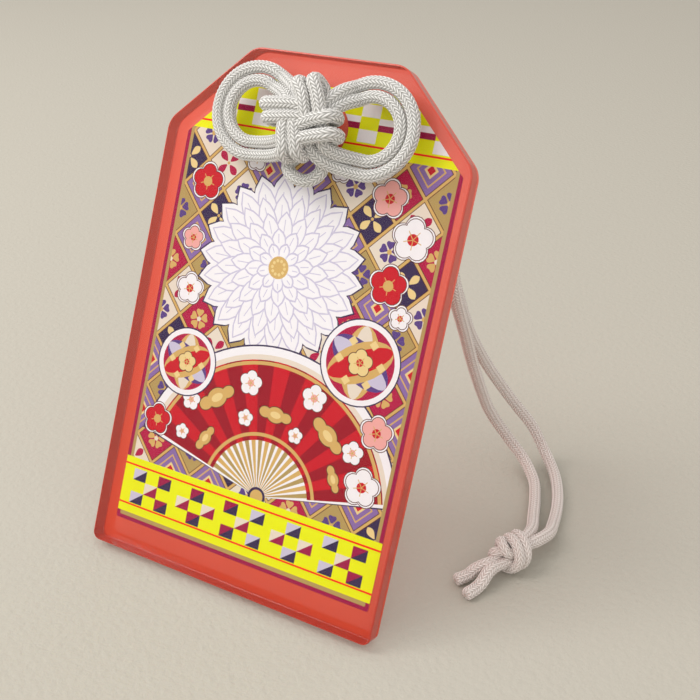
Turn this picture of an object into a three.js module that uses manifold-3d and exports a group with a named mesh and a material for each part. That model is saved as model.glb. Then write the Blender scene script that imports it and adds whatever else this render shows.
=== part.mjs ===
// A shrine charm: a clear acrylic plate with a picture laminated behind it, hung on a white braided
// cord. The cord is tied on the plate's face in a doubled ornamental knot, both its ends go back
// through the plate's hole, and they meet in one overhand knot. The charm stands as it was set down:
// the plate leans back on its lower rear edge, and the cord lies behind it as a prop.
//
// Millimetres, +Z up. The origin is on the table, under the middle of the leaning plate.
// Plate coordinates, before the plate leans: x to the right, y to the back from the front face, z up.

import * as THREE from 'three';
import { mergeVertices } from 'three/addons/utils/BufferGeometryUtils.js';
import Module from 'manifold-3d';

const wasm = await Module();
wasm.setup();

// Driving dimensions of the plate
const plate_width = 50;
const plate_height = 80;
const plate_lean_deg = 26;
const shoulder_across = 12.8;
const shoulder_down = 12.4;
const shoulder_radius = 3.5;
const foot_radius = 1.3;
const clear_thickness = 2.5;

// Driving dimensions of the picture and the red sheet behind it
const picture_thickness = 0.1;
const red_skin = 0.3;
const glue_line = 0.05;
const picture_side_margin = 2.1;
const picture_end_margin = 3.9;
const picture_corner_radius = 0.3;
const picture_window_radius = 4.3;
const hole_radius = 2.3;
const hole_below_top = 10;

// Driving dimensions of the cord
const cord_diameter = 1.8;
const knotted_diameter = 1.15;
const end_knotted_diameter = 1.05;
const seat_gap = 0.3;
const table_gap = 0.05;
const strand_pitch_in_hole = 2.1;
const knot_end_depth = 0.5;
const cut_end_length = 4.6;
const cut_end_spread = 1.3;

// Driving dimensions of the front knot
const ear_centre_across = 9.4;
const ear_centre_up = 0.65;
const outer_ear_radius = 6.4;
const ear_pitch = 1.9;
const crown_reach = 6.3;
const crown_swing = 2.4;
const crown_lane = 1.9;
const layer_pitch = 1.8;

// Driving dimensions of the end knot
const wrap_pitch = 3.2;
const core_pitch = 1.55;
const end_knot_x = 36.6;
const end_knot_y = 7.2;
const end_knot_turn_deg = 245;

// Worked out from the sizes above
const plate_lean = THREE.MathUtils.degToRad(plate_lean_deg);
const red_thickness = glue_line + picture_thickness + red_skin;
const total_thickness = clear_thickness + glue_line + red_thickness;
const hole_height = plate_height - hole_below_top;

// How finely the rounds are drawn
const steps_per_loop = 24;
const steps_per_ear = 31;
const cord_sides = 8;
const knot_sides = 6;
const diameters_per_tail_step = 2.3;
const measured_points_per_diameter = 4;

// An outline from its corners, each rounded by an arc of its own radius. Corners run anticlockwise.
function roundedOutline(corners) {
  const shape = new THREE.Shape();
  corners.forEach((corner, i) => {
    const before = corners[(i + corners.length - 1) % corners.length];
    const after = corners[(i + 1) % corners.length];
    const in_way = new THREE.Vector2(before.x - corner.x, before.y - corner.y).normalize();
    const out_way = new THREE.Vector2(after.x - corner.x, after.y - corner.y).normalize();
    const half = Math.acos(THREE.MathUtils.clamp(in_way.dot(out_way), -1, 1)) / 2;
    const middle = in_way.clone().add(out_way).normalize();
    const centre_x = corner.x + (middle.x * corner.radius) / Math.sin(half);
    const centre_y = corner.y + (middle.y * corner.radius) / Math.sin(half);
    const cut = corner.radius / Math.tan(half);
    const start = Math.atan2(corner.y + in_way.y * cut - centre_y, corner.x + in_way.x * cut - centre_x);
    const end = Math.atan2(corner.y + out_way.y * cut - centre_y, corner.x + out_way.x * cut - centre_x);
    shape.absarc(centre_x, centre_y, corner.radius, start, end, false);
  });
  return shape;
}

// The charm's outline, drawn in from every side: a house shape with sloping shoulders.
function charmOutline(side_margin, end_margin, radii) {
  const x = plate_width / 2 - side_margin;
  const top = plate_height - end_margin;
  const slope = Math.atan2(shoulder_down, shoulder_across);
  const shoulder_margin = (side_margin + end_margin) / 2;
  const along_top = shoulder_margin / Math.sin(slope) - end_margin / Math.tan(slope);
  const along_side = shoulder_margin / Math.cos(slope) - side_margin * Math.tan(slope);
  const top_x = plate_width / 2 - shoulder_across - along_top;
  const shoulder_z = plate_height - shoulder_down - along_side;
  return roundedOutline([
    { x: -x, y: end_margin, radius: radii.foot },
    { x, y: end_margin, radius: radii.foot },
    { x, y: shoulder_z, radius: radii.shoulder },
    { x: top_x, y: top, radius: radii.shoulder },
    { x: -top_x, y: top, radius: radii.shoulder },
    { x: -x, y: shoulder_z, radius: radii.shoulder },
  ]);
}

function roundHole(radius) {
  const hole = new THREE.Path();
  hole.absarc(0, hole_height, radius, 0, 2 * Math.PI, true);
  return hole;
}

// An upright sheet with this outline, between two depths behind the plate's front face.
function sheet(shape, front, back) {
  const geometry = new THREE.ExtrudeGeometry(shape, {
    depth: back - front,
    bevelEnabled: false,
    curveSegments: steps_per_loop / 2,
  });
  geometry.rotateX(Math.PI / 2);
  geometry.translate(0, back, 0);
  return geometry;
}

function toSolid(geometry) {
  const bare = geometry.clone();
  bare.deleteAttribute('normal');
  bare.deleteAttribute('uv');
  const merged = mergeVertices(bare);
  return new wasm.Manifold(new wasm.Mesh({
    numProp: 3,
    vertProperties: new Float32Array(merged.attributes.position.array),
    triVerts: new Uint32Array(merged.index.array),
  }));
}

function toGeometry(solid) {
  const mesh = solid.getMesh();
  const geometry = new THREE.BufferGeometry();
  geometry.setAttribute('position', new THREE.BufferAttribute(mesh.vertProperties, mesh.numProp));
  geometry.setIndex(new THREE.BufferAttribute(mesh.triVerts, 1));
  geometry.computeVertexNormals();
  return geometry;
}

function circle(radius, sides) {
  const shape = new THREE.Shape();
  for (let i = 0; i < sides; i += 1) {
    const angle = ((i + 1 / 2) / sides) * 2 * Math.PI;
    const x = radius * Math.cos(angle);
    const y = radius * Math.sin(angle);
    if (i === 0) shape.moveTo(x, y);
    else shape.lineTo(x, y);
  }
  shape.closePath();
  return shape;
}

// A length of cord: a many-sided section drawn along a smooth line through the route's points.
function cordTube(points, diameter, sides, step) {
  const path = new THREE.CatmullRomCurve3(points, false, 'centripetal');
  path.arcLengthDivisions = points.length * steps_per_loop;
  const steps = Math.max(points.length, Math.round(path.getLength() / step));
  return new THREE.ExtrudeGeometry(circle(diameter / 2, sides), {
    steps,
    bevelEnabled: false,
    extrudePath: path,
  });
}

// The least gap between two stretches of cord, measured on points along their middle lines. On one
// cord, points that lie close together along it don't count.
function leastGap(points, other, diameter) {
  const fine = diameter / measured_points_per_diameter;
  const spaced = (route) => {
    const path = new THREE.CatmullRomCurve3(route, false, 'centripetal');
    path.arcLengthDivisions = route.length * steps_per_loop;
    return path.getSpacedPoints(Math.round(path.getLength() / fine));
  };
  const first = spaced(points);
  const same = points === other;
  const second = same ? first : spaced(other);
  const apart = Math.ceil((diameter * Math.PI) / fine);
  let least = Infinity;
  first.forEach((p, i) => {
    for (let j = same ? i + apart : 0; j < second.length; j += 1) {
      least = Math.min(least, p.distanceTo(second[j]));
    }
  });
  return least - diameter;
}

// The front knot. Its middle is a crown of four doubled fingers, laid like the flaps of a closed
// box: each goes over the finger on one side of it and under the finger on the other. A place in the
// crown is given by how far it lies out towards the finger's tip, how far it swings to the side, and
// its layer off the plate. Fingers are numbered clockwise from the top: 0 up, 1 right, 2 down, 3 left.
const first_layer = knotted_diameter / 2 + seat_gap;
const behind_crown_layer = 1.12;
const ear_from_deg = -32;
const ear_to_deg = 202;
const crown_ways = [[0, 1], [1, 0], [0, -1], [-1, 0]];

function place(x, up, layer) {
  return new THREE.Vector3(x, -first_layer - layer * layer_pitch, hole_height + up);
}

function inFinger(finger, out, side, layer) {
  const [ox, oz] = crown_ways[finger];
  return place(ox * out + oz * side, oz * out - ox * side, layer);
}

// From the back of the crown over the finger's tip and down its front: out as a share of the reach,
// swing as a share of the crown's swing, and the layer.
const finger_shares = [
  [0.66, 0.48, 1.00],
  [0.90, 0.44, 1.25],
  [1.00, 0.44, 2.00],
  [0.90, 0.52, 2.75],
  [0.72, 0.84, 3.02],
  [0.50, 1.00, 3.05],
  [0.20, 1.00, 3.00],
  [-0.20, 1.00, 2.00],
  [-0.42, 1.00, 1.94],
];

function finger(number, lane) {
  return finger_shares.map(([out, swing, layer]) => (
    inFinger(number, out * crown_reach, swing * crown_swing + lane * crown_lane / 2, layer)
  ));
}

// A round ear beside the crown. side is -1 for the left and 1 for the right, and the loop runs from
// its upper root round the outside to its lower root. Angles are measured from straight up.
function ear(side, radius) {
  const count = Math.round(steps_per_loop / 2);
  return Array.from({ length: count + 1 }, (_, i) => {
    const share = i / count;
    const angle = THREE.MathUtils.degToRad(ear_from_deg + (ear_to_deg - ear_from_deg) * share);
    const x = side * (ear_centre_across + radius * Math.sin(angle));
    return place(x, ear_centre_up + radius * Math.cos(angle), 0);
  });
}

// Where a finger's inner end turns into an ear's root, as shares of the crown's reach across and up,
// with the layer. The first list of each pair is the outer strand.
const root_shares = {
  right_upper_outer: [[0.56, 0.60, 1.80], [0.74, 0.78, 1.05]],
  right_upper_inner: [[0.60, 0.30, 1.80], [0.82, 0.48, 1.05]],
  right_lower_outer: [[0.27, -0.60, 1.85], [0.46, -0.78, 1.20]],
  right_lower_inner: [[0.60, -0.51, 1.75], [0.83, -0.59, 1.00]],
  left_upper_outer: [[-0.27, 0.62, 1.85], [-0.46, 0.82, 1.20]],
  left_upper_inner: [[-0.60, 0.54, 1.75], [-0.83, 0.62, 1.05]],
  left_lower_outer: [[-0.56, -0.58, 1.80], [-0.74, -0.76, 1.05]],
  left_lower_inner: [[-0.60, -0.28, 1.80], [-0.82, -0.44, 1.05]],
};

function root(name) {
  return root_shares[name].map(([x, up, layer]) => place(x * crown_reach, up * crown_reach, layer));
}

const inner_ear_radius = outer_ear_radius - ear_pitch;

// One of the cord's four rounds beside the crown: down the finger that leads to the ear's upper root,
// round the ear, and up the finger at its lower root.
function round(side, upper, lower, radius, place_name) {
  const side_name = side < 0 ? 'left' : 'right';
  return [
    ...upper,
    ...root(`${side_name}_upper_${place_name}`),
    ...ear(side, radius),
    ...root(`${side_name}_lower_${place_name}`).reverse(),
    ...lower.slice().reverse(),
  ];
}

// Out of the hole and along the plate to the left finger's back: left and up as shares of the cord,
// and the layer. lane 1 is the upper strand, and the first three points are still coming forward.
const from_hole_shares = [
  [0.00, 0.00, null], [0.00, 0.00, null], [0.12, 0.00, -0.34], [1.00, 0.00, 0.00], [2.00, 0.12, 0.30],
];

function fromHole(lane) {
  const height = (lane * strand_pitch_in_hole) / 2;
  const depths = [knot_end_depth, knot_end_depth - knotted_diameter / 2];
  return from_hole_shares.map(([left, up, layer], i) => {
    const x = -left * knotted_diameter;
    const raised = height + lane * up * knotted_diameter;
    if (layer === null) return new THREE.Vector3(x, depths[i], hole_height + raised);
    return place(x, raised, layer);
  });
}

// The single loop below the crown, where the cord turns back, from the right finger's back round to
// it again: across and up as shares of the crown's reach, and the layer.
const lower_loop_shares = [
  [0.44, -0.06, 0.20], [0.36, -0.30, 0.00], [0.16, -0.60, 0.00], [-0.14, -0.86, 0.00],
  [-0.34, -1.06, 0.00], [-0.26, -1.26, 0.00], [0.00, -1.36, 0.00], [0.27, -1.30, 0.00],
  [0.44, -1.12, 0.00], [0.46, -0.90, 0.00], [0.50, -0.66, 0.00], [0.60, -0.44, 0.25],
];

// Half way from the upper finger's back to the lower one's.
function behindCrown(lane) {
  return place((lane * crown_lane) / 2, 0, behind_crown_layer);
}

function frontKnotRoute() {
  const lower_loop = lower_loop_shares.map(([x, up, layer]) => (
    place(x * crown_reach, up * crown_reach, layer)
  ));
  return [
    ...fromHole(1),
    ...round(1, finger(3, 1), finger(0, -1), outer_ear_radius, 'outer'),
    behindCrown(-1),
    ...round(-1, finger(2, 1), finger(1, -1), inner_ear_radius, 'inner'),
    ...lower_loop,
    ...round(-1, finger(2, -1), finger(1, 1), outer_ear_radius, 'outer').reverse(),
    behindCrown(1),
    ...round(1, finger(3, -1), finger(0, 1), inner_ear_radius, 'inner').reverse(),
    ...fromHole(-1).reverse(),
  ];
}

// The end knot: an overhand knot in the doubled cord, lying on the table. Both strands run through
// its middle, wrap one and a half turns back over themselves and run through the middle again.
const core_radius = core_pitch * Math.SQRT1_2;
const wrap_radius = core_radius + core_pitch;
const wrap_turns = 1.5;
const core_start_deg = 45;
const strand_turn_deg = 90;
const wrap_ease_deg = 12;
const wrap_ease_radius = (2 * core_radius + wrap_radius) / 3;
const end_knot_turn = THREE.MathUtils.degToRad(end_knot_turn_deg);
const end_knot_height = wrap_radius + end_knotted_diameter / 2 + table_gap;

function inEndKnot(along, angle_deg, radius) {
  const angle = THREE.MathUtils.degToRad(angle_deg);
  const across = radius * Math.cos(angle);
  return new THREE.Vector3(
    end_knot_x + along * Math.cos(end_knot_turn) - across * Math.sin(end_knot_turn),
    end_knot_y + along * Math.sin(end_knot_turn) + across * Math.cos(end_knot_turn),
    end_knot_height + radius * Math.sin(angle),
  );
}

const end_knot_half = (wrap_pitch * (wrap_turns + 1 / 2)) / 2 + core_pitch;

// number is 0 for the strand that wraps nearer the cord, and 1 for the one nearer the cut ends.
function endKnotRoute(number) {
  const start_deg = core_start_deg + strand_turn_deg * number;
  const lead = (wrap_pitch / 4) * number;
  const first = wrap_pitch * (wrap_turns / 2) - wrap_pitch / 4 + lead;
  const points = [
    inEndKnot(-end_knot_half, start_deg, core_radius),
    inEndKnot(-end_knot_half / 2, start_deg, core_radius),
    inEndKnot(0, start_deg, core_radius),
    inEndKnot(first - core_pitch / 2, start_deg, core_radius),
    inEndKnot(first + core_pitch / 4, start_deg + wrap_ease_deg, wrap_ease_radius),
  ];
  const turn_steps = Math.round((wrap_turns * steps_per_loop) / 2);
  for (let i = 2; i <= turn_steps - 2; i += 1) {
    const share = i / turn_steps;
    const along = first - share * wrap_pitch * wrap_turns;
    points.push(inEndKnot(along, start_deg + share * wrap_turns * 360, wrap_radius));
  }
  const last = first - wrap_pitch * wrap_turns;
  const last_deg = start_deg + wrap_turns * 360;
  points.push(
    inEndKnot(last - core_pitch / 4, last_deg - wrap_ease_deg, wrap_ease_radius),
    inEndKnot(last + core_pitch / 2, last_deg, core_radius),
    inEndKnot(0, last_deg, core_radius),
    inEndKnot(end_knot_half / 2, last_deg, core_radius),
    inEndKnot(end_knot_half + lead / 2, last_deg, core_radius),
  );
  return points;
}

// The free cord. Each strand's route is in two lists: in the hole and behind the plate, measured from
// the hole's middle on the plate's back face and leaning with it, and then down to the table and
// along it, in the charm's own frame.
const leaning = new THREE.Group();
leaning.rotation.x = -plate_lean;
const lean_depth = total_thickness * Math.cos(plate_lean) + plate_height * Math.sin(plate_lean);
leaning.position.set(0, -lean_depth / 2, total_thickness * Math.sin(plate_lean));
leaning.updateMatrixWorld(true);

const outer_behind = [
  [0, -2.2, 1.05], [0, 0, 1.05], [0.5, 2.2, 1.05], [2.6, 3.5, 1], [7, 3.6, 0.3],
  [12.5, 3.6, -1.2], [17, 3.6, -4], [20, 3.7, -8.5], [21.6, 4.4, -14],
];
const outer_down = [
  [21.3, 12.4, 45.3], [20.9, 16.4, 40.0], [21.1, 20.0, 34.2], [21.8, 22.7, 29.6],
  [22.6, 25.0, 25.8], [24.3, 29.2, 18.8], [27.1, 33.6, 11.2], [30.3, 36.9, 4.4],
  [33.1, 36.6, 1.35], [36.3, 31.2, 1.05], [38.7, 25.4, 1.0], [40.2, 20.4, 1.3],
];
const inner_behind = [
  [0, -2.2, -1.05], [0, -0.6, -1.05], [0.5, 0.9, -1.05], [2.2, 1.5, -1], [7, 1.5, -1.4],
  [12.5, 1.5, -2.7], [17.3, 1.5, -5.4], [20.8, 1.5, -9.6], [22.6, 1.9, -14.4],
];
const inner_down = [
  [23.6, 9.6, 45.0], [22.9, 12.4, 41.4], [22.4, 15.3, 37.1], [22.6, 17.7, 32.5],
  [23.0, 19.9, 28.4], [23.4, 23.3, 21.8], [24.2, 27.6, 13.8], [26.3, 32.3, 5.6],
  [29.2, 34.6, 1.4], [32.5, 30.6, 1.05], [34.9, 26.0, 1.0], [36.6, 20.8, 1.3],
];
const free_cord_spread = core_radius + cord_diameter / 4;

function behind(points) {
  return points.map(([x, y, z]) => (
    new THREE.Vector3(x, total_thickness + y, hole_height + z).applyMatrix4(leaning.matrixWorld)
  ));
}

function down(points) {
  return points.map((p) => new THREE.Vector3(...p));
}

// The free strand's last points bring it straight into the end knot's core.
function intoEndKnot(number) {
  const angle = core_start_deg + strand_turn_deg * number;
  return [
    inEndKnot(-end_knot_half - cord_diameter - cord_diameter / 2, angle, free_cord_spread),
    inEndKnot(-end_knot_half - seat_gap, angle, free_cord_spread),
  ];
}

function cutEndRoute(number) {
  const angle = core_start_deg + 180 + strand_turn_deg * number;
  const side = number === 0 ? -1 : 1;
  const start = end_knot_half + (wrap_pitch / 4) * number + seat_gap;
  const from = inEndKnot(start, angle, free_cord_spread);
  const rest = cord_diameter / 2 + table_gap;
  const onTable = (along, across) => {
    const p = inEndKnot(start + along, 0, side * across);
    p.z = Math.max(rest, from.z + (rest - from.z) * (along / cut_end_length) * 2);
    return p;
  };
  return [
    from,
    onTable(cut_end_length / 4, free_cord_spread),
    onTable(cut_end_length / 2, free_cord_spread + cut_end_spread / 4),
    onTable(cut_end_length, free_cord_spread + cut_end_spread),
  ];
}

// The finishes and the meshes
const acrylic = { color: '#f3f4f4', roughness: 0.05, metalness: 0, transparent: true, opacity: 0.3 };
const red_acrylic = { color: '#c8493c', roughness: 0.08, metalness: 0 };
const picture_ink = { color: '#e9c86a', roughness: 0.4, metalness: 0 };
const cord_white = { color: '#e6e4e0', roughness: 0.85, metalness: 0 };

function piece(name, geometry, finish) {
  const mesh = new THREE.Mesh(geometry, new THREE.MeshStandardMaterial(finish));
  mesh.name = name;
  return mesh;
}

const plate_radii = { foot: foot_radius, shoulder: shoulder_radius };
const picture_radii = { foot: picture_corner_radius, shoulder: picture_corner_radius };

function clearPlate() {
  const outline = charmOutline(0, 0, plate_radii);
  outline.holes.push(roundHole(hole_radius));
  return piece('clear_plate', sheet(outline, 0, clear_thickness), acrylic);
}

const picture_front = clear_thickness + glue_line;
const picture_back = picture_front + picture_thickness;

function pictureSheet() {
  const outline = charmOutline(picture_side_margin, picture_end_margin, picture_radii);
  outline.holes.push(roundHole(picture_window_radius));
  return piece('picture_sheet', sheet(outline, picture_front, picture_back), picture_ink);
}

// The red sheet closes in round the picture: it has a shallow pocket where the picture lies.
function redSheet() {
  const outline = charmOutline(0, 0, plate_radii);
  outline.holes.push(roundHole(hole_radius));
  const pocket = charmOutline(
    picture_side_margin - glue_line,
    picture_end_margin - glue_line,
    picture_radii,
  );
  pocket.holes.push(roundHole(picture_window_radius - glue_line));
  const body = toSolid(sheet(outline, picture_front, total_thickness));
  const cut = toSolid(sheet(pocket, picture_front - red_skin, picture_back + glue_line));
  return piece('red_sheet', toGeometry(body.subtract(cut)), red_acrylic);
}

const knot_step = (2 * Math.PI * outer_ear_radius) / steps_per_ear;
const tail_step = diameters_per_tail_step * cord_diameter;

function frontKnot(route) {
  return piece('front_knot', cordTube(route, knotted_diameter, knot_sides, knot_step), cord_white);
}

function tailStrand(name, route) {
  return piece(name, cordTube(route, cord_diameter, cord_sides, tail_step), cord_white);
}

function endKnotStrand(name, route) {
  const step = end_knotted_diameter;
  return piece(name, cordTube(route, end_knotted_diameter, knot_sides, step), cord_white);
}

const front_knot_route = frontKnotRoute();
const end_knot_routes = [endKnotRoute(0), endKnotRoute(1)];
const outer_route = [...behind(outer_behind), ...down(outer_down), ...intoEndKnot(0)];
const inner_route = [...behind(inner_behind), ...down(inner_down), ...intoEndKnot(1)];

const report = (what, gap) => console.log(`least gap ${what}: ${gap.toFixed(2)} mm`);
report('in the front knot', leastGap(front_knot_route, front_knot_route, knotted_diameter));
report('in the end knot, first strand',
  leastGap(end_knot_routes[0], end_knot_routes[0], end_knotted_diameter));
report('in the end knot, second strand',
  leastGap(end_knot_routes[1], end_knot_routes[1], end_knotted_diameter));
report('between the end knot strands',
  leastGap(end_knot_routes[0], end_knot_routes[1], end_knotted_diameter));
report('between the tail strands', leastGap(outer_route, inner_route, cord_diameter));

leaning.add(clearPlate(), pictureSheet(), redSheet(), frontKnot(front_knot_route));

const charm = new THREE.Group();
charm.add(
  leaning,
  tailStrand('tail_strand_outer', outer_route),
  tailStrand('tail_strand_inner', inner_route),
  endKnotStrand('end_knot_first', end_knot_routes[0]),
  endKnotStrand('end_knot_second', end_knot_routes[1]),
  tailStrand('cut_end_first', cutEndRoute(0)),
  tailStrand('cut_end_second', cutEndRoute(1)),
);

export default charm;
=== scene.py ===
"""The looks of a shrine charm: a clear plate over a printed picture and a red sheet, leaning back on its
white braided cord, which is tied on the plate's face in a doubled ornamental knot.

Sizes are in millimetres in plate coordinates (x right, y to the back from the front face, z up along
the plate) until a piece's mesh is made, and then in metres in the row frame.
"""

import logging
import math
from dataclasses import dataclass, field
from enum import Enum
from typing import Sequence

import bpy
import numpy as np
from bpy.types import Material, Mesh, Node, NodeSocket, NodeTree, Object
from mathutils import Matrix, Vector
from mathutils.geometry import delaunay_2d_cdt


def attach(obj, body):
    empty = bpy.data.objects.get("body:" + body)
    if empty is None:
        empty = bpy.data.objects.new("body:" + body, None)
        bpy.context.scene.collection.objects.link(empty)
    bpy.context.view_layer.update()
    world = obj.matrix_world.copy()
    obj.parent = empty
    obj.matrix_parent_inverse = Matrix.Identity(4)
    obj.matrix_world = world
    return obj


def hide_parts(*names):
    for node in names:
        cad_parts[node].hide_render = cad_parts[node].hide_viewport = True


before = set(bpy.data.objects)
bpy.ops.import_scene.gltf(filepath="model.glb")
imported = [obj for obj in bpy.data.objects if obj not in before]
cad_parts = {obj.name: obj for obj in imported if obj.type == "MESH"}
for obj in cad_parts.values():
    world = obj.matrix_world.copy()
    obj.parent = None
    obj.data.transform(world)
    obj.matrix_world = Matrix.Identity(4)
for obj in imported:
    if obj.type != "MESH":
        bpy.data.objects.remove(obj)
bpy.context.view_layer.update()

logging.basicConfig(level=logging.INFO, format="%(name)s: %(message)s")
log = logging.getLogger("charm")

Points = np.ndarray
MM = 0.001
HOLE_HEIGHT = 70.0
Colour = tuple[float, float, float, float]
Spot = Sequence[float]
Values = dict[str | int, object]


# Meshes from arrays


def add_object(name: str, data: bpy.types.ID) -> Object:
    """Adds an object with this mesh, lamp or camera to the scene."""
    made = bpy.data.objects.new(name, data)
    bpy.context.scene.collection.objects.link(made)
    return made


def new_piece(name: str, mesh: Mesh, body: str) -> Object:
    """Adds a mesh as a piece that rides on a body and takes its finish from a slot.

    Args:
        name: the piece's name.
        mesh: its mesh, in metres in the row frame.
        body: the CAD body that it moves with.

    Returns:
        The new object.
    """
    piece = add_object(name, mesh)
    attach(piece, body)
    log.info("%s: %d faces, rides on %s", name, len(mesh.polygons), body)
    return piece


def grid_quads(rows: int, columns: int, close_rows: bool = False) -> np.ndarray:
    """Corner numbers of the faces of a grid whose columns close on themselves.

    The vertex in row i and column j has number i * columns + j. Each face joins row i to row i + 1.

    Args:
        rows: how many rows of vertices there are.
        columns: how many vertices each row has.
        close_rows: whether the last row joins the first.

    Returns:
        An array of shape (faces, 4).
    """
    count = rows if close_rows else rows - 1
    i, j = np.meshgrid(np.arange(count), np.arange(columns), indexing="ij")
    below, beside = (i + 1) % rows, (j + 1) % columns
    corners = (i * columns + j, i * columns + beside, below * columns + beside, below * columns + j)
    return np.stack([c.ravel() for c in corners], axis=1)


def mesh_from(name: str, vertices: Points, faces: Sequence[Sequence[int]],
              *finishes: Material) -> Mesh:
    """Makes a smooth mesh from vertices in metres, its faces and its materials."""
    mesh = bpy.data.meshes.new(name)
    mesh.from_pydata(vertices.tolist(), [], [list(face) for face in faces])
    mesh.polygons.foreach_set("use_smooth", np.ones(len(mesh.polygons), dtype=bool))
    mesh.update()
    for finish in finishes:
        mesh.materials.append(finish)
    return mesh


@dataclass(frozen=True)
class Lean:
    """How the plate leans back on its lower rear edge."""

    angle_deg: float = 26.0
    plate_height: float = 80.0
    plate_depth: float = 3.0

    @property
    def cos_sin(self) -> tuple[float, float]:
        """The cosine and the sine of the lean."""
        return math.cos(math.radians(self.angle_deg)), math.sin(math.radians(self.angle_deg))

    def turn(self, vectors: Points) -> Points:
        """Turns vectors by the lean about x: y' = y cos + z sin, and z' = z cos - y sin."""
        cos, sin = self.cos_sin
        x, y, z = np.asarray(vectors, dtype=float).T
        return np.stack([x, y * cos + z * sin, z * cos - y * sin], axis=1)

    def place(self, points: Points) -> Points:
        """Puts plate points in the row frame, in metres.

        The turned plate is moved forward by half its leaning depth, depth cos + height sin, and up by
        depth sin, so that its lower rear edge is on the table.
        """
        cos, sin = self.cos_sin
        half_depth = (self.plate_depth * cos + self.plate_height * sin) / 2
        return (self.turn(points) + [0.0, -half_depth, self.plate_depth * sin]) * MM


LEAN = Lean()


# Shader helpers

# Scales of noise, in waves per metre: drifts of colour, wear, grime, rough patches and fine grain.
DRIFT_SCALE, CLOUD_SCALE, GRIME_SCALE, PATCH_SCALE, GRAIN_SCALE = 60.0, 90.0, 140.0, 300.0, 900.0


def srgb(red: int, green: int, blue: int) -> Colour:
    """Turns a colour of 0 to 255 as seen on a screen into the linear light that shaders use."""
    parts = np.array([red, green, blue]) / 255
    linear = np.where(parts <= 0.04045, parts / 12.92, ((parts + 0.055) / 1.055) ** 2.4)
    return (*linear.tolist(), 1.0)


class Sketch:
    """Places shader nodes in a tree and joins them, one short call for each."""

    def __init__(self, tree: NodeTree) -> None:
        """Takes the tree to draw in."""
        self.tree = tree

    def fill(self, node: Node, values: Values) -> None:
        """Joins a node's inputs to the sockets given, or sets the plain values on them."""
        for place, value in values.items():
            if isinstance(value, NodeSocket):
                self.tree.links.new(value, node.inputs[place])
            else:
                node.inputs[place].default_value = value

    def node(self, kind: str, values: Values | None = None, **settings: object) -> Node:
        """Adds a node of this kind, with its settings and then its inputs' values."""
        made = self.tree.nodes.new(kind)
        for name, value in settings.items():
            setattr(made, name, value)
        self.fill(made, values or {})
        return made

    def math(self, operation: str, *values: object) -> NodeSocket:
        """Adds a Math node and gives its result."""
        return self.node("ShaderNodeMath", dict(enumerate(values)), operation=operation).outputs[0]

    def split(self, vector: object) -> Sequence[NodeSocket]:
        """Splits a vector and gives its parts by their names."""
        return self.node("ShaderNodeSeparateXYZ", {"Vector": vector}).outputs

    def place(self) -> NodeSocket:
        """Gives the place on the object, in metres."""
        return self.node("ShaderNodeTexCoord").outputs["Object"]

    def noise(self, vector: object, scale: float, detail: float = 2.0) -> NodeSocket:
        """Adds a noise texture and gives its value."""
        values = {"Vector": vector, "Scale": scale, "Detail": detail}
        return self.node("ShaderNodeTexNoise", values).outputs["Fac"]

    def spread(self, value: object, low: float, high: float) -> NodeSocket:
        """Maps 0 to 1 onto low to high, held at both ends."""
        values = {"Value": value, "To Min": low, "To Max": high}
        return self.node("ShaderNodeMapRange", values).outputs["Result"]

    def blend(self, factor: object, first: object, second: object) -> NodeSocket:
        """Mixes two colours by a factor."""
        values = {"Factor": factor, "A": first, "B": second}
        return self.node("ShaderNodeMix", values, data_type="RGBA").outputs["Result"]

    def bump(self, height: object, distance: float) -> NodeSocket:
        """Adds a bump of this depth in metres and gives its normal."""
        return self.node("ShaderNodeBump", {"Height": height, "Distance": distance}).outputs["Normal"]

    def shadowed(self, alpha: float, shadow_alpha: float) -> NodeSocket:
        """Gives one alpha to the rays that see the surface and another to those that shade others."""
        in_shadow = self.node("ShaderNodeLightPath").outputs["Is Shadow Ray"]
        return self.spread(in_shadow, alpha, shadow_alpha)

    def group(self, tree: NodeTree, values: Values) -> Sequence[NodeSocket]:
        """Places a node group with these input values and gives its outputs by their names."""
        return self.node("ShaderNodeGroup", values, node_tree=tree).outputs


def new_group(name: str, inputs: dict[str, tuple[str, object]], outputs: Sequence[str]) -> tuple:
    """Starts a shader node group.

    Args:
        name: the group's name.
        inputs: each input's name with its kind (Float or Vector) and default, or None.
        outputs: the name of each output, all of which are floats.

    Returns:
        A Sketch of the group's tree, its input sockets by name and its output node.
    """
    tree = bpy.data.node_groups.new(name, "ShaderNodeTree")
    for label, (kind, default) in inputs.items():
        socket = tree.interface.new_socket(label, in_out="INPUT", socket_type=f"NodeSocket{kind}")
        if default is not None:
            socket.default_value = default
    for label in outputs:
        tree.interface.new_socket(label, in_out="OUTPUT", socket_type="NodeSocketFloat")
    sketch = Sketch(tree)
    return sketch, sketch.node("NodeGroupInput").outputs, sketch.node("NodeGroupOutput")


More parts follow.
